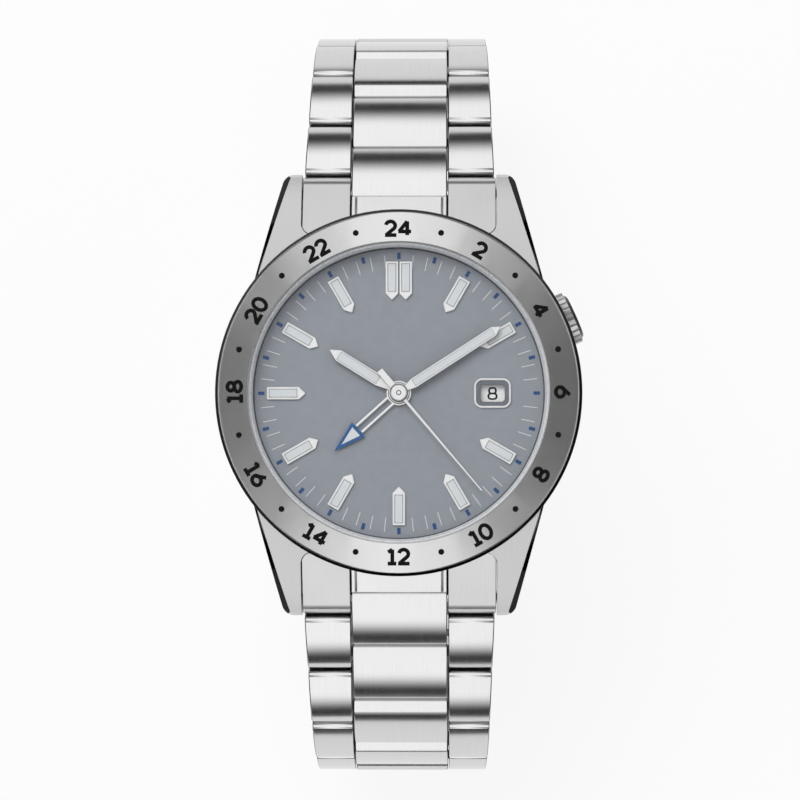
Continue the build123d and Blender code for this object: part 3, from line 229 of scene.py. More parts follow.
def dress(node, finish, bevel=0.05, steps=2):
    """Stands a welded copy of a CAD piece, with its edges eased, in place of the piece."""
    mesh = frame["nodes"][node].data.copy()
    mesh.name = node
    shell = bmesh.new()
    shell.from_mesh(mesh)
    bmesh.ops.remove_doubles(shell, verts=shell.verts, dist=WELD_REACH)
    bmesh.ops.dissolve_limit(
        shell, angle_limit=FLAT_ANGLE, verts=shell.verts, edges=shell.edges
    )
    shell.to_mesh(mesh)
    shell.free()
    mesh.materials.clear()
    mesh.materials.append(finish.material)
    piece = bpy.data.objects.new("dressed_" + node, mesh)
    bpy.context.collection.objects.link(piece)
    if bevel:
        edge = piece.modifiers.new("eased edges", "BEVEL")
        edge.width = bevel * MM
        edge.segments = steps
        edge.limit_method = "ANGLE"
        edge.angle_limit = SHARP_ANGLE
        edge.use_clamp_overlap = True
        weight = piece.modifiers.new("weighted normals", "WEIGHTED_NORMAL")
        weight.keep_sharp = True
    for face in mesh.polygons:
        face.use_smooth = True
    bpy.context.view_layer.objects.active = piece
    with bpy.context.temp_override(
        object=piece, active_object=piece, selected_editable_objects=[piece]
    ):
        bpy.ops.object.shade_smooth_by_angle(angle=SHARP_ANGLE)
    for body, nodes in frame["record"]["behaviour"]["bodies"].items():
        if node in nodes:
            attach(piece, body)
    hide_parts(node)
    return piece


case_steel, case_grain = grained_steel("case satin steel", 14000, 260, 260)
case_nx, _, _ = case_steel.facing()
# Painted dark reflection: the polished bevels get a near-black colour in place of the dark
# they reflect.
case_bevel_painted_dark = case_nx.slanted()
case_tone = case_steel.tone(case_grain, 0.6, 0.63)
case_steel.feed("Base Color", case_steel.mix(case_bevel_painted_dark, case_tone, grey(0.015)))
case_steel.feed("Roughness", (1 - case_bevel_painted_dark) * (0.2 + 0.06 * case_grain) + 0.06)
dress("mid_case", case_steel, 0.06)

# Case back. A turned steel cover screwed into the case, with six notches for its
# key. Its face is satin turned in circles, and a rubber ring seals it to the case.
RINGS_PER_MM = 16
RING_DEPTH = 0.004 * MM


def turned_steel(name):
    """Steel turned on a lathe, its distance from the axis and its ring-shaped grain."""
    finish = Finish(name, Metallic=1.0)
    out = finish.radius()
    ring = finish.noise(finish.vector(out * RINGS_PER_MM, 0.0, 0.0), 1.0, 3.0)
    finish.bump(ring, RING_DEPTH)
    return finish, out, ring


back_steel, _, back_ring = turned_steel("case back turned steel")
back_cloud = back_steel.noise(back_steel.place(), 220.0)
back_steel.feed("Base Color", back_steel.tone(back_ring, 0.59, 0.65))
back_steel.feed("Roughness", 0.22 + 0.06 * back_ring + 0.03 * back_cloud)
seal_rubber = Finish("seal rubber", Metallic=0.0, Specular_IOR_Level=0.3)
seal_speck = seal_rubber.noise(seal_rubber.place(), 4000.0)
seal_rubber.feed("Base Color", seal_rubber.mix(seal_speck, grey(0.012), grey(0.03)))
seal_rubber.feed("Roughness", 0.6 + 0.2 * seal_speck)
dress("case_back", back_steel, 0.06)
dress("case_back_gasket", seal_rubber, 0.0)

# Movement. A moulded ring holds it in the case. The main plate and the balance are
# brass with a fine grain; the bridge and the rotor are rhodium plated, with straight
# stripes ground across them, as on the usual automatic movement.
holder_plastic = Finish("movement holder plastic", Metallic=0.0)
holder_speck = holder_plastic.noise(holder_plastic.place(), 2500.0)
holder_plastic.feed("Base Color", holder_plastic.mix(holder_speck, grey(0.06), grey(0.1)))
holder_plastic.feed("Roughness", 0.45 + 0.15 * holder_speck)
dress("movement_holder", holder_plastic, 0.0)

plate_brass = Finish("plate brass", Metallic=1.0)
plate_speck = plate_brass.noise(plate_brass.place(), 3500.0)
plate_tone = plate_brass.mix(plate_speck, (0.5, 0.36, 0.15, 1), (0.68, 0.52, 0.25, 1))
plate_brass.feed("Base Color", plate_tone)
plate_brass.feed("Roughness", 0.28 + 0.14 * plate_speck)
plate_brass.bump(plate_speck, 0.003 * MM)
for node in ("main_plate", "balance_wheel", "hour_wheel", "wheel_24_hour"):
    dress(node, plate_brass, 0.02)

STRIPE_TURN = 2200
bridge_steel = Finish("striped rhodium", Metallic=1.0)
stripe_x, _, _ = bridge_steel.axes(bridge_steel.place())
stripe = (stripe_x * STRIPE_TURN).math("SINE") * 0.5 + 0.5
stripe_grain = bridge_steel.noise(bridge_steel.stretched(9000, 300, 300), 1.0)
bridge_steel.feed("Base Color", bridge_steel.mix(stripe, grey(0.5), grey(0.68)))
bridge_steel.feed("Roughness", 0.16 + 0.16 * stripe + 0.06 * stripe_grain)
for node in ("train_bridge", "rotor"):
    dress(node, bridge_steel, 0.03)

# Stem, tube, setting lever, pipes and pins. Small turned parts of polished steel.
polished_steel = Finish("polished steel", Metallic=1.0)
polished_cloud = polished_steel.noise(polished_steel.place(), 900.0)
polished_steel.feed("Base Color", polished_steel.mix(polished_cloud, grey(0.66), grey(0.74)))
polished_steel.feed("Roughness", 0.07 + 0.06 * polished_cloud)
for node in (
    "crown_tube",
    "winding_stem",
    "setting_lever",
    "seconds_arbor",
    "cannon_pinion",
    "spring_bars",
    "clasp_fold_pin",
    "clasp_cover_pin",
):
    dress(node, polished_steel, 0.03)

# Date disc. A white lacquered ring with the numbers 1 to 31 printed round it in a
# thin squarish black letter, so that each stands upright in the window at 3 o'clock.
DATE_COUNT = 31
DATE_SHOWN = 8
DATE_RING = 10.5 * MM
DATE_HEIGHT = 1.46 * MM
DATE_LINE = 0.2 * MM
DATE_TOP = 6.0 * MM
DATE_RISE = 0.03 * MM
DATE_SQUARE = 0.74
ONE_DIGIT_WIDTH = 1.12
TWO_DIGIT_WIDTH = 0.72

date_white = Finish("date disc white", Metallic=0.0)
date_speck = date_white.noise(date_white.place(), 1800.0)
date_white.feed("Base Color", date_white.mix(date_speck, grey(0.93), grey(0.97)))
date_white.feed("Roughness", 0.35 + 0.1 * date_speck)
dress("date_disc", date_white, 0.0)

black_ink = Finish("black ink", Metallic=0.0, Specular_IOR_Level=0.1)
ink_speck = black_ink.noise(black_ink.place(), 6000.0)
black_ink.feed("Base Color", black_ink.mix(ink_speck, grey(0.004), grey(0.012)))
black_ink.feed("Roughness", 0.6 + 0.2 * ink_speck)


def bow(middle_x, middle_y, reach_x, reach_y, start, stop, square=1.0, steps=18):
    """Points along a round or squarish bow between two angles in degrees."""
    points = []
    for step in range(steps + 1):
        turn = radians(start + (stop - start) * step / steps)
        across = abs(cos(turn)) ** square * (1 if cos(turn) >= 0 else -1)
        up = abs(sin(turn)) ** square * (1 if sin(turn) >= 0 else -1)
        points.append((middle_x + reach_x * across, middle_y + reach_y * up))
    return points


def digit_strokes(digit, square):
    """Width and centre lines of a digit that is one unit high."""
    if digit == "0":
        return 0.74, [bow(0.37, 0.5, 0.29, 0.42, 90, 450, square, 36)]
    if digit == "1":
        flag = [(0.1, 0.76), (0.34, 0.92)]
        stem = [(0.34, 0.92), (0.34, 0.08)]
        return 0.62, [flag, stem, [(0.08, 0.08), (0.56, 0.08)]]
    if digit == "2":
        crown = bow(0.35, 0.66, 0.26, 0.26, 170, -38, square)
        return 0.74, [crown + [(0.1, 0.08)], [(0.04, 0.08), (0.68, 0.08)]]
    if digit == "3":
        upper = bow(0.33, 0.71, 0.22, 0.21, 160, -90, square)
        lower = bow(0.33, 0.29, 0.27, 0.21, 90, -155, square)
        return 0.7, [upper, lower]
    if digit == "4":
        stem = [(0.54, 0.08), (0.54, 0.92)]
        slant = [(0.54, 0.92), (0.08, 0.3)]
        return 0.84, [stem, slant, [(0.04, 0.3), (0.76, 0.3)]]
    if digit == "5":
        bowl = bow(0.34, 0.34, 0.27, 0.26, 125, -150, square)
        return 0.72, [[(0.6, 0.92), (0.16, 0.92)], [(0.2, 0.92), (0.16, 0.52)], bowl]
    if digit == "6":
        bowl = bow(0.37, 0.34, 0.28, 0.26, 0, 360, square, 32)
        return 0.74, [bowl, [(0.52, 0.92), (0.28, 0.62), (0.13, 0.44)]]
    if digit == "7":
        return 0.7, [[(0.08, 0.92), (0.66, 0.92)], [(0.62, 0.92), (0.26, 0.08)]]
    if digit == "8":
        upper = bow(0.37, 0.71, 0.23, 0.21, 0, 360, square, 32)
        lower = bow(0.37, 0.29, 0.28, 0.21, 0, 360, square, 32)
        return 0.74, [upper, lower]
    bowl = bow(0.37, 0.66, 0.28, 0.26, 0, 360, square, 32)
    return 0.74, [bowl, [(0.22, 0.08), (0.46, 0.38), (0.61, 0.56)]]


CLOSED_REACH = 0.001
STROKE_FOOT = 0.08
STROKE_REACH = 0.84


def stroke_mesh(text, height, line, thickness, square=1.0):
    """A flat raised mesh of a number, centred on its own middle."""
    curve = bpy.data.curves.new("strokes", "CURVE")
    curve.dimensions = "3D"
    curve.bevel_depth = line / 2
    curve.bevel_resolution = 3
    curve.use_fill_caps = True
    share = line / height / 2
    pen = 0.0
    for digit in text:
        width, strokes = digit_strokes(digit, square)
        for points in strokes:
            spline = curve.splines.new("POLY")
            closed = Vector(points[0] + (0,)) - Vector(points[-1] + (0,))
            spline.use_cyclic_u = closed.length < CLOSED_REACH
            if spline.use_cyclic_u:
                points = points[:-1]
            spline.points.add(len(points) - 1)
            for point, (x, y) in zip(spline.points, points):
                level = share + (y - STROKE_FOOT) * (1 - 2 * share) / STROKE_REACH
                point.co = ((pen + x) * height, level * height, 0.0, 1.0)
        pen += width
    holder = bpy.data.objects.new("strokes", curve)
    bpy.context.collection.objects.link(holder)
    bpy.context.view_layer.update()
    graph = bpy.context.evaluated_depsgraph_get()
    mesh = bpy.data.meshes.new_from_object(holder.evaluated_get(graph))
    bpy.data.objects.remove(holder)
    flat = Matrix.Translation((-pen * height / 2, -height / 2, 0.0))
    mesh.transform(Matrix.Diagonal((1.0, 1.0, thickness / line, 1.0)) @ flat)
    return mesh


def print_numbers(name, prints, finish, body):
    """Joins placed number meshes into one piece that rides on a body."""
    joined = bmesh.new()
    for mesh, place in prints:
        mesh.transform(place)
        joined.from_mesh(mesh)
    mesh = bpy.data.meshes.new(name)
    joined.to_mesh(mesh)
    joined.free()
    mesh.materials.clear()
    mesh.materials.append(finish.material)
    for face in mesh.polygons:
        face.material_index = 0
    piece = bpy.data.objects.new(name, mesh)
    bpy.context.collection.objects.link(piece)
    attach(piece, body)
    return piece


date_prints = []
for number in range(1, DATE_COUNT + 1):
    turn = 2 * pi * (number - DATE_SHOWN) / DATE_COUNT
    mesh = stroke_mesh(str(number), DATE_HEIGHT, DATE_LINE, DATE_RISE, DATE_SQUARE)
    squeeze = ONE_DIGIT_WIDTH if number < 10 else TWO_DIGIT_WIDTH
    mesh.transform(Matrix.Diagonal((squeeze, 1.0, 1.0, 1.0)))
    place = Matrix.Rotation(turn, 4, "Z") @ Matrix.Translation((DATE_RING, 0.0, DATE_TOP))
    date_prints.append((mesh, place))
print_numbers("date_numbers", date_prints, black_ink, "date_disc")

# Dial. A thin disc with a matte blue-grey lacquer over a fine grained base. The
# minute lines are printed white and the 24-hour marks blue, round its edge.
DIAL_TOP = 6.9 * MM
INK_HEIGHT = 0.024 * MM

dial_paint = Finish("dial lacquer", Metallic=0.0, Specular_IOR_Level=0.35)
dial_grain = dial_paint.noise(dial_paint.place(), 5200.0, 3.0)
dial_cloud = dial_paint.noise(dial_paint.place(), 900.0, 6.0)
dial_fleck = dial_paint.noise(dial_paint.place(), 3000.0, 1.0).ease(0.7, 0.76)
dial_mask = dial_cloud.ease(0.35, 0.65)
dial_tone = dial_paint.mix(dial_mask, (0.285, 0.306, 0.34, 1), (0.3, 0.322, 0.357, 1))
dial_tone = dial_paint.mix(dial_fleck * 0.12, dial_tone, (0.4, 0.42, 0.45, 1))
dial_paint.feed("Base Color", dial_tone)
dial_paint.feed("Roughness", 0.5 + 0.15 * dial_grain)
dial_paint.bump(dial_grain, 0.004 * MM)
dress("dial", dial_paint, 0.0)

white_ink = Finish("white ink", Metallic=0.0)
white_speck = white_ink.noise(white_ink.place(), 6000.0)
white_ink.feed("Base Color", white_ink.mix(white_speck, grey(0.62), grey(0.78)))
white_ink.feed("Roughness", 0.4 + 0.2 * white_speck)
blue_ink = Finish("blue ink", Metallic=0.0)
blue_speck = blue_ink.noise(blue_ink.place(), 6000.0)
blue_tone = blue_ink.mix(blue_speck, (0.006, 0.05, 0.17, 1), (0.01, 0.07, 0.23, 1))
blue_ink.feed("Base Color", blue_tone)
blue_ink.feed("Roughness", 0.35 + 0.2 * blue_speck)


DOT_CORNERS = 28


def ring_tree():
    """A node tree that stands a bar or a dot at each place round a circle."""
    tree = bpy.data.node_groups.new("marks round a circle", "GeometryNodeTree")
    tree.interface.new_socket("Geometry", in_out="OUTPUT", socket_type="NodeSocketGeometry")
    for label, kind in (
        ("Count", "NodeSocketInt"),
        ("Group", "NodeSocketInt"),
        ("Left out", "NodeSocketInt"),
        ("Radius", "NodeSocketFloat"),
        ("Length", "NodeSocketFloat"),
        ("Width", "NodeSocketFloat"),
        ("Height", "NodeSocketFloat"),
        ("Level", "NodeSocketFloat"),
        ("Round", "NodeSocketBool"),
        ("Ink", "NodeSocketMaterial"),
    ):
        tree.interface.new_socket(label, in_out="INPUT", socket_type=kind)

    def add(kind, settings, sockets, output=0):
        node = tree.nodes.new(kind)
        for setting, value in settings.items():
            setattr(node, setting, value)
        for key, value in sockets.items():
            if isinstance(value, bpy.types.NodeSocket):
                tree.links.new(value, node.inputs[key])
            else:
                node.inputs[key].default_value = value
        return node.outputs[output]

    given = tree.nodes.new("NodeGroupInput").outputs
    circle = {"Vertices": given["Count"], "Radius": given["Radius"]}
    ring = add("GeometryNodeMeshCircle", {}, circle)
    lift = add("ShaderNodeCombineXYZ", {}, {"Z": given["Level"]})
    ring = add("GeometryNodeSetPosition", {}, {"Geometry": ring, "Offset": lift})
    index = add("GeometryNodeInputIndex", {}, {})
    share = {0: index, 1: given["Group"]}
    rest = add("FunctionNodeIntegerMath", {"operation": "MODULO"}, share)
    unequal = {"data_type": "INT", "operation": "NOT_EQUAL"}
    keep = add("FunctionNodeCompare", unequal, {2: rest, 3: given["Left out"]})
    place = add("GeometryNodeInputPosition", {}, {})
    parts = tree.nodes.new("ShaderNodeSeparateXYZ")
    tree.links.new(place, parts.inputs[0])
    arms = {0: parts.outputs[1], 1: parts.outputs[0]}
    turn = add("ShaderNodeMath", {"operation": "ARCTAN2"}, arms)
    facing = add("ShaderNodeCombineXYZ", {}, {"Z": turn})
    sides = {"X": given["Length"], "Y": given["Width"], "Z": given["Height"]}
    bar = add("GeometryNodeMeshCube", {}, {"Size": add("ShaderNodeCombineXYZ", {}, sides)})
    half = add("ShaderNodeMath", {"operation": "MULTIPLY"}, {0: given["Width"], 1: 0.5})
    disc = {"Vertices": DOT_CORNERS, "Radius": half, "Depth": given["Height"]}
    dot = add("GeometryNodeMeshCylinder", {}, disc)
    choice = {"Switch": given["Round"], "False": bar, "True": dot}
    shape = add("GeometryNodeSwitch", {"input_type": "GEOMETRY"}, choice)
    marks = add(
        "GeometryNodeInstanceOnPoints",
        {},
        {"Points": ring, "Selection": keep, "Instance": shape, "Rotation": facing},
    )
    marks = add("GeometryNodeRealizeInstances", {}, {"Geometry": marks})
    marks = add("GeometryNodeSetMaterial", {}, {"Geometry": marks, "Material": given["Ink"]})
    result = tree.nodes.new("NodeGroupOutput")
    tree.links.new(marks, result.inputs["Geometry"])
    return tree


marks_round = ring_tree()


def ring_marks(name, finish, body, slot, **settings):
    """Makes the marks with the node tree and keeps them as a plain mesh."""
    holder = bpy.data.objects.new("marks", bpy.data.meshes.new("marks"))
    bpy.context.collection.objects.link(holder)
    modifier = holder.modifiers.new("marks", "NODES")
    modifier.node_group = marks_round
    settings["Ink"] = finish.material
    for item in marks_round.interface.items_tree:
        if item.in_out == "INPUT":
            modifier[item.identifier] = settings[item.name.replace(" ", "_")]
    bpy.context.view_layer.update()
    graph = bpy.context.evaluated_depsgraph_get()
    mesh = bpy.data.meshes.new_from_object(holder.evaluated_get(graph))
    mesh.name = name
    bpy.data.objects.remove(holder)
    piece = bpy.data.objects.new(name, mesh)
    bpy.context.collection.objects.link(piece)
    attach(piece, body)
    return piece


ring_marks(
    "minute_lines",
    white_ink,
    "head",
    "white_paint",
    Count=60,
    Group=5,
    Left_out=0,
    Radius=14.8 * MM,
    Length=1.55 * MM,
    Width=0.085 * MM,
    Height=INK_HEIGHT,
    Level=DIAL_TOP,
    Round=False,
)
ring_marks(
    "blue_marks",
    blue_ink,
    "head",
    "blue_paint",
    Count=24,
    Group=24,
    Left_out=24,
    Radius=15.45 * MM,
    Length=0.72 * MM,
    Width=0.39 * MM,
    Height=INK_HEIGHT,
    Level=DIAL_TOP,
    Round=False,
)

# Hour markers. Applied batons of bright steel, pointed towards the middle, with a
# pocket filled with white luminous paint, whose sloping rim is painted near black as
# painted shade round it. Feet riveted through the dial hold them.
marker_steel = Finish("marker steel", Metallic=0.4)
marker_grain = marker_steel.noise(marker_steel.place(), 3000.0)
marker_steel.feed("Base Color", marker_steel.mix(marker_grain, grey(0.84), grey(0.9)))
marker_steel.feed("Roughness", 0.26 + 0.12 * marker_grain)
lume_paint = Finish("luminous paint", Metallic=0.0, Specular_IOR_Level=0.3)
lume_grain = lume_paint.noise(lume_paint.place(), 4200.0, 3.0)
_, _, lume_nz = lume_paint.facing()
# Painted shade: the paint's faces that do not look up, round its rim, are near black.
lume_rim_painted_shade = 1 - lume_nz.ease(0.7, 0.97)
lume_tone = lume_paint.mix(lume_grain, (0.66, 0.69, 0.71, 1), (0.72, 0.75, 0.77, 1))
lume_paint.feed("Base Color", lume_paint.mix(lume_rim_painted_shade, lume_tone, grey(0.06)))
lume_paint.feed("Roughness", 0.6 + 0.2 * lume_grain)
lume_paint.bump(lume_grain, 0.004 * MM)
dress("hour_markers", marker_steel, 0.05)
dress("marker_lume", lume_paint, 0.06)

# Date frame. A stepped frame pressed into the dial: a bright line round the outside
# and a sloping recess down to the disc, lacquered dark, and darker still inside the
# recess as painted shade.
FRAME_MIDDLE = 10.5 * MM
FRAME_HALF_LENGTH = 2.065
FRAME_HALF_WIDTH = 1.665
FRAME_CORNER = 0.9
FRAME_LINE = 0.2
frame_paint = Finish("date frame lacquer", Metallic=0.0)
frame_x, frame_y, frame_z = frame_paint.axes(frame_paint.place())
side_x = abs(frame_x - FRAME_MIDDLE) * 1000 - (FRAME_HALF_LENGTH - FRAME_CORNER)
side_y = abs(frame_y) * 1000 - (FRAME_HALF_WIDTH - FRAME_CORNER)
from_middle = frame_paint.length(side_x.math("MAXIMUM", 0.0), side_y.math("MAXIMUM", 0.0))
frame_line = from_middle.ease(FRAME_CORNER - FRAME_LINE - 0.06, FRAME_CORNER - FRAME_LINE)
# Painted shade: below the frame's top face the recess is made darker still.
frame_depth_shade = (frame_z * 1000).ease(6.96, 7.06)
frame_tone = frame_paint.mix(frame_depth_shade, (0.03, 0.04, 0.055, 1), (0.16, 0.175, 0.2, 1))
frame_paint.feed("Base Color", frame_paint.mix(frame_line, frame_tone, grey(0.78)))
frame_paint.feed("Roughness", 0.45 - 0.15 * frame_line)
dress("date_frame", frame_paint, 0.07, 3)

# Inner flange. A bright sloping ring between dial and glass, with fine minute cuts
# and painted shade as a dark line round its foot, where it meets the dial.
FLANGE_FOOT = 16.36
flange_steel = Finish("flange steel", Metallic=0.2)
flange_x, flange_y, _ = flange_steel.axes(flange_steel.place())
flange_turn = flange_y.math("ARCTAN2", flange_x)
flange_cut = (flange_turn * (60 / 2 / pi) + 60.5).math("FRACT")
flange_dark = flange_cut.line(0.5, 0.02, 0.04)
# Painted shade: the slope inside FLANGE_FOOT is near black.
flange_above_shade = flange_steel.radius().ease(FLANGE_FOOT - 0.03, FLANGE_FOOT + 0.03)
flange_tone = flange_steel.mix(flange_above_shade, grey(0.05), grey(0.95))
flange_steel.feed("Base Color", flange_steel.mix(flange_dark * 0.3, flange_tone, grey(0.4)))
flange_steel.feed("Roughness", 0.16 + 0.1 * flange_steel.noise(flange_steel.place(), 2000.0))
dress("rehaut_ring", flange_steel, 0.03)

# Hands. Stamped steel, rhodium plated and polished, pressed on their pipes one above
# the other. Painted shade makes a dark ring at each hub and round the seconds pin, and
# makes their edges and sides near black. The hour and minute hands hold luminous
# paint; the 24-hour hand is an arrow head lacquered blue, on two thin rods.
HUB_SHADE_RINGS = ((0.24, 0.03, 0.08), (0.97, 0.04, 0.08))
ARROW_SHADE_RING = 1.17
ARROW_START = 6.0
hand_steel = Finish("hand steel", Metallic=0.45)
hand_grain = hand_steel.noise(hand_steel.place(), 2600.0)
hand_out = hand_steel.radius()
_, _, hand_nz = hand_steel.facing()
# Painted shade: faces that do not look up, and thin rings at the hubs, are near black.
hand_painted_shade = 1 - hand_nz.ease(0.6, 0.95)
for shade_ring in HUB_SHADE_RINGS:
    hand_painted_shade = hand_painted_shade.math("MAXIMUM", hand_out.line(*shade_ring))
hand_tone = hand_steel.mix(hand_grain, grey(0.84), grey(0.9))
hand_steel.feed("Base Color", hand_steel.mix(hand_painted_shade, hand_tone, grey(0.1)))
hand_steel.feed("Roughness", 0.3 + 0.06 * hand_grain)
for node in ("hour_hand", "minute_hand", "seconds_hand"):
    dress(node, hand_steel, 0.035)
for node in ("hour_hand_lume", "minute_hand_lume", "hand_24_hour_lume"):
    dress(node, lume_paint, 0.08)

arrow_paint = Finish("arrow hand", Metallic=0.0)
arrow_out = arrow_paint.radius()
arrow_head = arrow_out.ease(ARROW_START, ARROW_START + 0.05)
arrow_grain = arrow_paint.noise(arrow_paint.place(), 2600.0)
# Painted shade: a dark ring round the arrow hand's hub.
arrow_shade_ring = arrow_out.line(ARROW_SHADE_RING, 0.03, 0.06)
arrow_tone = arrow_paint.mix(arrow_head, grey(0.88), (0.006, 0.1, 0.3, 1))
arrow_paint.feed("Base Color", arrow_paint.mix(arrow_shade_ring, arrow_tone, grey(0.1)))
arrow_paint.feed("Metallic", 0.6 - 0.35 * arrow_head)
arrow_paint.feed("Roughness", 0.24 + 0.1 * arrow_grain)
dress("hand_24_hour", arrow_paint, 0.035)

# Glass. A flat sapphire disc with a low dome and a bevelled edge, coated against
# reflections, pressed into the case with a seal round it.
sapphire = Finish(
    "coated sapphire", Base_Color=(0.9, 0.94, 1.0, 1.0), Roughness=0.02, IOR=1.4
)
sapphire_edge = sapphire.radius().ease(16.2, 16.6)
sapphire_turned = sapphire.node("ShaderNodeLayerWeight", {}, {"Blend": 0.35}, "Facing")
sapphire.feed("Alpha", 0.01 + 0.15 * sapphire_turned + 0.12 * sapphire_edge)
dress("crystal", sapphire, 0.0)

seal_nylon = Finish("glass seal nylon", Metallic=0.0)
nylon_speck = seal_nylon.noise(seal_nylon.place(), 4000.0)
seal_nylon.feed("Base Color", seal_nylon.mix(nylon_speck, grey(0.74), grey(0.82)))
seal_nylon.feed("Roughness", 0.4 + 0.1 * nylon_speck)
dress("crystal_gasket", seal_nylon, 0.0)

# Bezel. A steel ring turned to a low cone and brushed in circles, with a polished
# bevel round its edge whose dark reflection is painted into its colour. The 24-hour
# numbers and dots are filled with black lacquer.
BEZEL_MIDDLE = 18.3 * MM
BEZEL_LEVEL = 9.777 * MM
BEZEL_SLOPE = 0.119
NUMBER_HEIGHT = 2.0 * MM
NUMBER_LINE = 0.43 * MM
DOT_WIDTH = 0.66 * MM
NUMBER_RISE = 0.07 * MM
DOT_RISE = 0.06 * MM
RIM_START = 20.14
bezel_steel, bezel_out, bezel_ring = turned_steel("bezel turned steel")
bezel_steel.shader.inputs["Anisotropic"].default_value = 0.35
bezel_steel.shader.inputs["Anisotropic Rotation"].default_value = 0.25
# Painted dark reflection: beyond RIM_START the polished bevel is near black.
bezel_rim_painted_dark = bezel_out.ease(RIM_START, RIM_START + 0.06)
bezel_tone = bezel_steel.tone(bezel_ring, 0.59, 0.65)
bezel_steel.feed("Base Color", bezel_steel.mix(bezel_rim_painted_dark, bezel_tone, grey(0.06)))
bezel_steel.feed("Roughness", 0.17 + 0.05 * bezel_ring - 0.14 * bezel_rim_painted_dark)
dress("bezel", bezel_steel, 0.05)

bezel_prints = []
for hour in range(2, 25, 2):
    turn = radians(-15 * hour)
    mesh = stroke_mesh(str(hour), NUMBER_HEIGHT, NUMBER_LINE, NUMBER_RISE)
    if 8 <= hour <= 16:
        mesh.transform(Matrix.Rotation(pi, 4, "Z"))
    seat = Matrix.Translation((0.0, BEZEL_MIDDLE, BEZEL_LEVEL))
    tilt = Matrix.Rotation(-BEZEL_SLOPE, 4, "X")
    bezel_prints.append((mesh, Matrix.Rotation(turn, 4, "Z") @ seat @ tilt))
print_numbers("bezel_numbers", bezel_prints, black_ink, "bezel")
ring_marks(
    "bezel_dots",
    black_ink,
    "bezel",
    "black_paint",
    Count=24,
    Group=2,
    Left_out=0,
    Radius=18.4 * MM,
    Length=DOT_WIDTH,
    Width=DOT_WIDTH,
    Height=DOT_RISE,
    Level=BEZEL_LEVEL,
    Round=True,
)

# Crown. A fluted steel button on the winding stem, with a polished bevel round
# its outer end whose dark reflection is painted into its colour as near black. Its flutes
# are painted very bright on top as painted highlight and darker in the grooves as painted
# shade.
CROWN_MIDDLE = 4.5
CROWN_COS = cos(radians(24))
CROWN_SIN = sin(radians(24))
FLUTE_FOOT = 2.76
FLUTE_SIDE = 2.86
crown_steel, _ = grained_steel("crown steel", 2600, 2600, 2600)
crown_x, crown_y, crown_z = crown_steel.axes(crown_steel.place())
crown_across = (crown_y * CROWN_COS - crown_x * CROWN_SIN) * 1000
crown_out = crown_steel.length(crown_across, crown_z * 1000 - CROWN_MIDDLE)
crown_nx, crown_ny, _ = crown_steel.facing()
crown_facing = abs(crown_nx * CROWN_COS + crown_ny * CROWN_SIN)
# Painted shade in the grooves, painted highlight on the ridges, painted dark reflection on the
# bevel.
crown_groove_shade = (1 - crown_out.ease(FLUTE_FOOT, FLUTE_SIDE)) * (1 - crown_facing.ease(0.3, 0.5))
crown_bevel_painted_dark = crown_facing.ease(0.45, 0.6) * (1 - crown_facing.ease(0.85, 0.95))
crown_tone = crown_steel.mix(crown_groove_shade, grey(0.95), grey(0.4))
crown_steel.feed("Base Color", crown_steel.mix(crown_bevel_painted_dark, crown_tone, grey(0.03)))
crown_steel.feed("Roughness", 0.4 - 0.32 * crown_bevel_painted_dark)
dress("crown", crown_steel, 0.07)

# End links. Solid steel pieces between the lugs, brushed like the bracelet, with a
# fine groove on each side of the middle that carries on the bracelet's three rows;
# a thin near-black line of painted shade is drawn beside each groove, and the middle
# row is lighter than the sides.
GROOVE_MIDDLE = 5.44
end_steel, end_grain = grained_steel("end link satin steel", 14000, 240, 240)
end_x, _, _ = end_steel.axes(end_steel.place())
end_out = abs(end_x) * 1000
# Painted shade: a near-black line at GROOVE_MIDDLE on each side.
end_groove_shade = end_out.line(GROOVE_MIDDLE, 0.05, 0.12)
end_tone = end_steel.mix(end_out.ease(5.4, 5.5), grey(0.8), grey(0.65))
end_steel.feed("Base Color", end_steel.mix(end_groove_shade, end_tone, grey(0.03)))
brushed(end_steel, end_grain, 0.22)
for node in ("end_link_12", "end_link_6"):
    dress(node, end_steel, 0.12, 3)

# Bracelet links. Solid steel, brushed lengthwise on top, with narrow polished
# edges where the rows meet, whose dark reflection is painted into their colour.
# Pins pushed through the outer pieces join them.
LINK_COUNT = 7
link_steel, link_grain = grained_steel("bracelet satin steel", 14000, 240, 240)
link_nx, _, _ = link_steel.facing()
link_tone = link_steel.tone(link_grain, 0.635, 0.665)
# Painted dark reflection: the slanted edges get a near-black colour.
link_steel.feed("Base Color", link_steel.mix(link_nx.slanted(), link_tone, grey(0.08)))
brushed(link_steel, link_grain, 0.12)
for side in ("12", "6"):
    for number in range(1, LINK_COUNT + 1):
        dress(f"link_{side}_{number}", link_steel, 0.12, 3)

# Clasp. Its cover is brushed on top; the two blades that fold under it are pressed
# from polished steel strip, and a brushed button stands in each side wall.
cover_steel, cover_grain = grained_steel("clasp satin steel", 14000, 240, 240)
cover_steel.feed("Base Color", cover_steel.tone(cover_grain, 0.645, 0.675))
brushed(cover_steel, cover_grain, 0.22)
for node in ("clasp_cover", "clasp_button_right", "clasp_button_left"):
    dress(node, cover_steel, 0.1, 3)
for node in ("clasp_short_blade", "clasp_long_blade"):
    dress(node, polished_steel, 0.05)

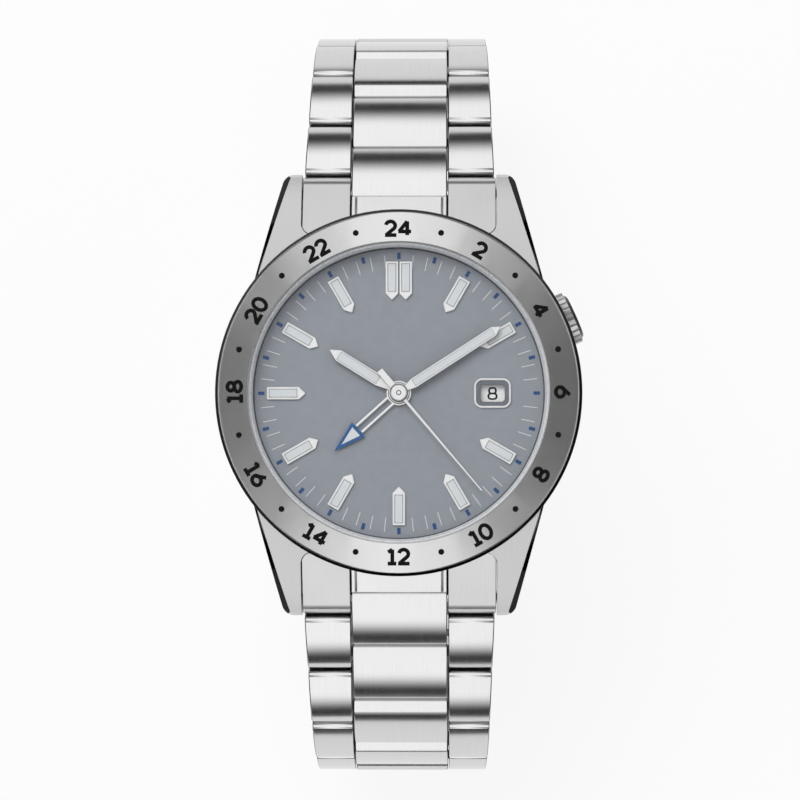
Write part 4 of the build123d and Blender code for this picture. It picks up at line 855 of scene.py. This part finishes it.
# Studio. A wide pale floor under the watch, and a sky with a bright band from beyond
# 12 o'clock over to beyond 6 o'clock, soft boxes at both sides and a dim rim. One
# soft lamp to the upper left lights the matt surfaces and is not seen in the steel.
FLOOR_HALF = 0.6
FLOOR_DROP = 0.0002
FLOOR_SEEN = 0.88
floor_level = cad_box[0][2] - FLOOR_DROP
corners = [
    (-FLOOR_HALF, -FLOOR_HALF, floor_level),
    (FLOOR_HALF, -FLOOR_HALF, floor_level),
    (FLOOR_HALF, FLOOR_HALF, floor_level),
    (-FLOOR_HALF, FLOOR_HALF, floor_level),
]
floor_mesh = bpy.data.meshes.new("floor")
floor_mesh.from_pydata(corners, [], [(0, 1, 2, 3)])
floor = bpy.data.objects.new("floor", floor_mesh)
bpy.context.collection.objects.link(floor)
floor_paint = Finish("floor paper", Metallic=0.0, Roughness=0.9, Specular_IOR_Level=0.1)
floor_cloud = floor_paint.noise(floor_paint.place(), 6.0)
floor_paint.feed("Base Color", floor_paint.mix(floor_cloud, grey(0.9), grey(0.92)))
seen = floor_paint.node("ShaderNodeLightPath", {}, (), "Is Camera Ray")
path_outputs = seen.socket.node.outputs
for ray in ("Is Glossy Ray", "Is Transmission Ray"):
    seen = seen + Wire(floor_paint, path_outputs[ray])
seen = seen.math("MINIMUM", 1.0) * FLOOR_SEEN
glow = floor_paint.node("ShaderNodeEmission", {}, {"Color": (1, 1, 1, 1), "Strength": 1.0})
paper = Wire(floor_paint, floor_paint.shader.outputs[0])
sheet = floor_paint.node("ShaderNodeMixShader", {}, (seen, paper, glow))
floor_output = floor_paint.tree.nodes["Material Output"]
floor_paint.plug(sheet, floor_output.inputs["Surface"])
floor_mesh.materials.append(floor_paint.material)

SKY_BAND = 1.36
SKY_BOXES = 0.8
SKY_DARK = 0.03
BAND_SHIFT = 0.03
BAND_EDGE = (0.02, 0.31)
BAND_RISE = (0.1, 0.46)
BOXES_EDGE = (0.45, 0.6)
BOXES_RISE = (0.3, 0.5)
world = bpy.data.worlds.new("studio")
world.use_nodes = True
bpy.context.scene.world = world
sky = Nodes(world.node_tree)
sky_x, _, sky_z = sky.axes(sky.node("ShaderNodeTexCoord", {}, (), "Generated"))
sky_band = (1 - abs(sky_x + BAND_SHIFT).ease(*BAND_EDGE)) * sky_z.ease(*BAND_RISE)
sky_boxes = abs(sky_x).ease(*BOXES_EDGE) * sky_z.ease(*BOXES_RISE)
background = world.node_tree.nodes["Background"]
background.inputs["Color"].default_value = (1.0, 1.0, 1.0, 1.0)
sky_level = SKY_DARK + SKY_BAND * sky_band + SKY_BOXES * sky_boxes
sky.plug(sky_level, background.inputs["Strength"])

LAMP_PLACE = Vector((-0.18, 0.3, 0.6))
LAMP_SIDE = 0.4
LAMP_POWER = 2.6
light = bpy.data.lights.new("key_lamp", "AREA")
light.shape = "RECTANGLE"
light.size = LAMP_SIDE
light.size_y = LAMP_SIDE
light.energy = LAMP_POWER
lamp = bpy.data.objects.new("key_lamp", light)
lamp.location = LAMP_PLACE
lamp.rotation_euler = (-LAMP_PLACE).to_track_quat("-Z", "Y").to_euler()
lamp.visible_glossy = False
bpy.context.collection.objects.link(lamp)

# Camera. A long lens above the dial, a few degrees towards 6 o'clock, as the
# photograph was taken, with the dial a little above the middle of the picture.
CAMERA_DISTANCE = 0.397
CAMERA_TILT = radians(2.4)
CAMERA_YAW = radians(1.0)
PIXELS_PER_METRE = 8976
PICTURE = 800
SENSOR = 36
aim = Vector((0.00017, -0.00087, 0.0095))
towards = Vector((
    sin(CAMERA_YAW) * cos(CAMERA_TILT),
    -sin(CAMERA_TILT),
    cos(CAMERA_YAW) * cos(CAMERA_TILT),
))
camera_data = bpy.data.cameras.new("camera")
camera_data.sensor_width = SENSOR
camera_data.lens = SENSOR * PIXELS_PER_METRE * CAMERA_DISTANCE / PICTURE
camera_data.clip_start = 0.01
camera_data.clip_end = 10
camera = bpy.data.objects.new("camera", camera_data)
right = Vector((0, 1, 0)).cross(towards).normalized()
turned = Matrix((right, towards.cross(right), towards)).transposed()
camera.matrix_world = Matrix.Translation(aim + towards * CAMERA_DISTANCE) @ turned.to_4x4()
bpy.context.collection.objects.link(camera)
bpy.context.scene.camera = camera
bpy.context.scene.view_settings.view_transform = "Standard"
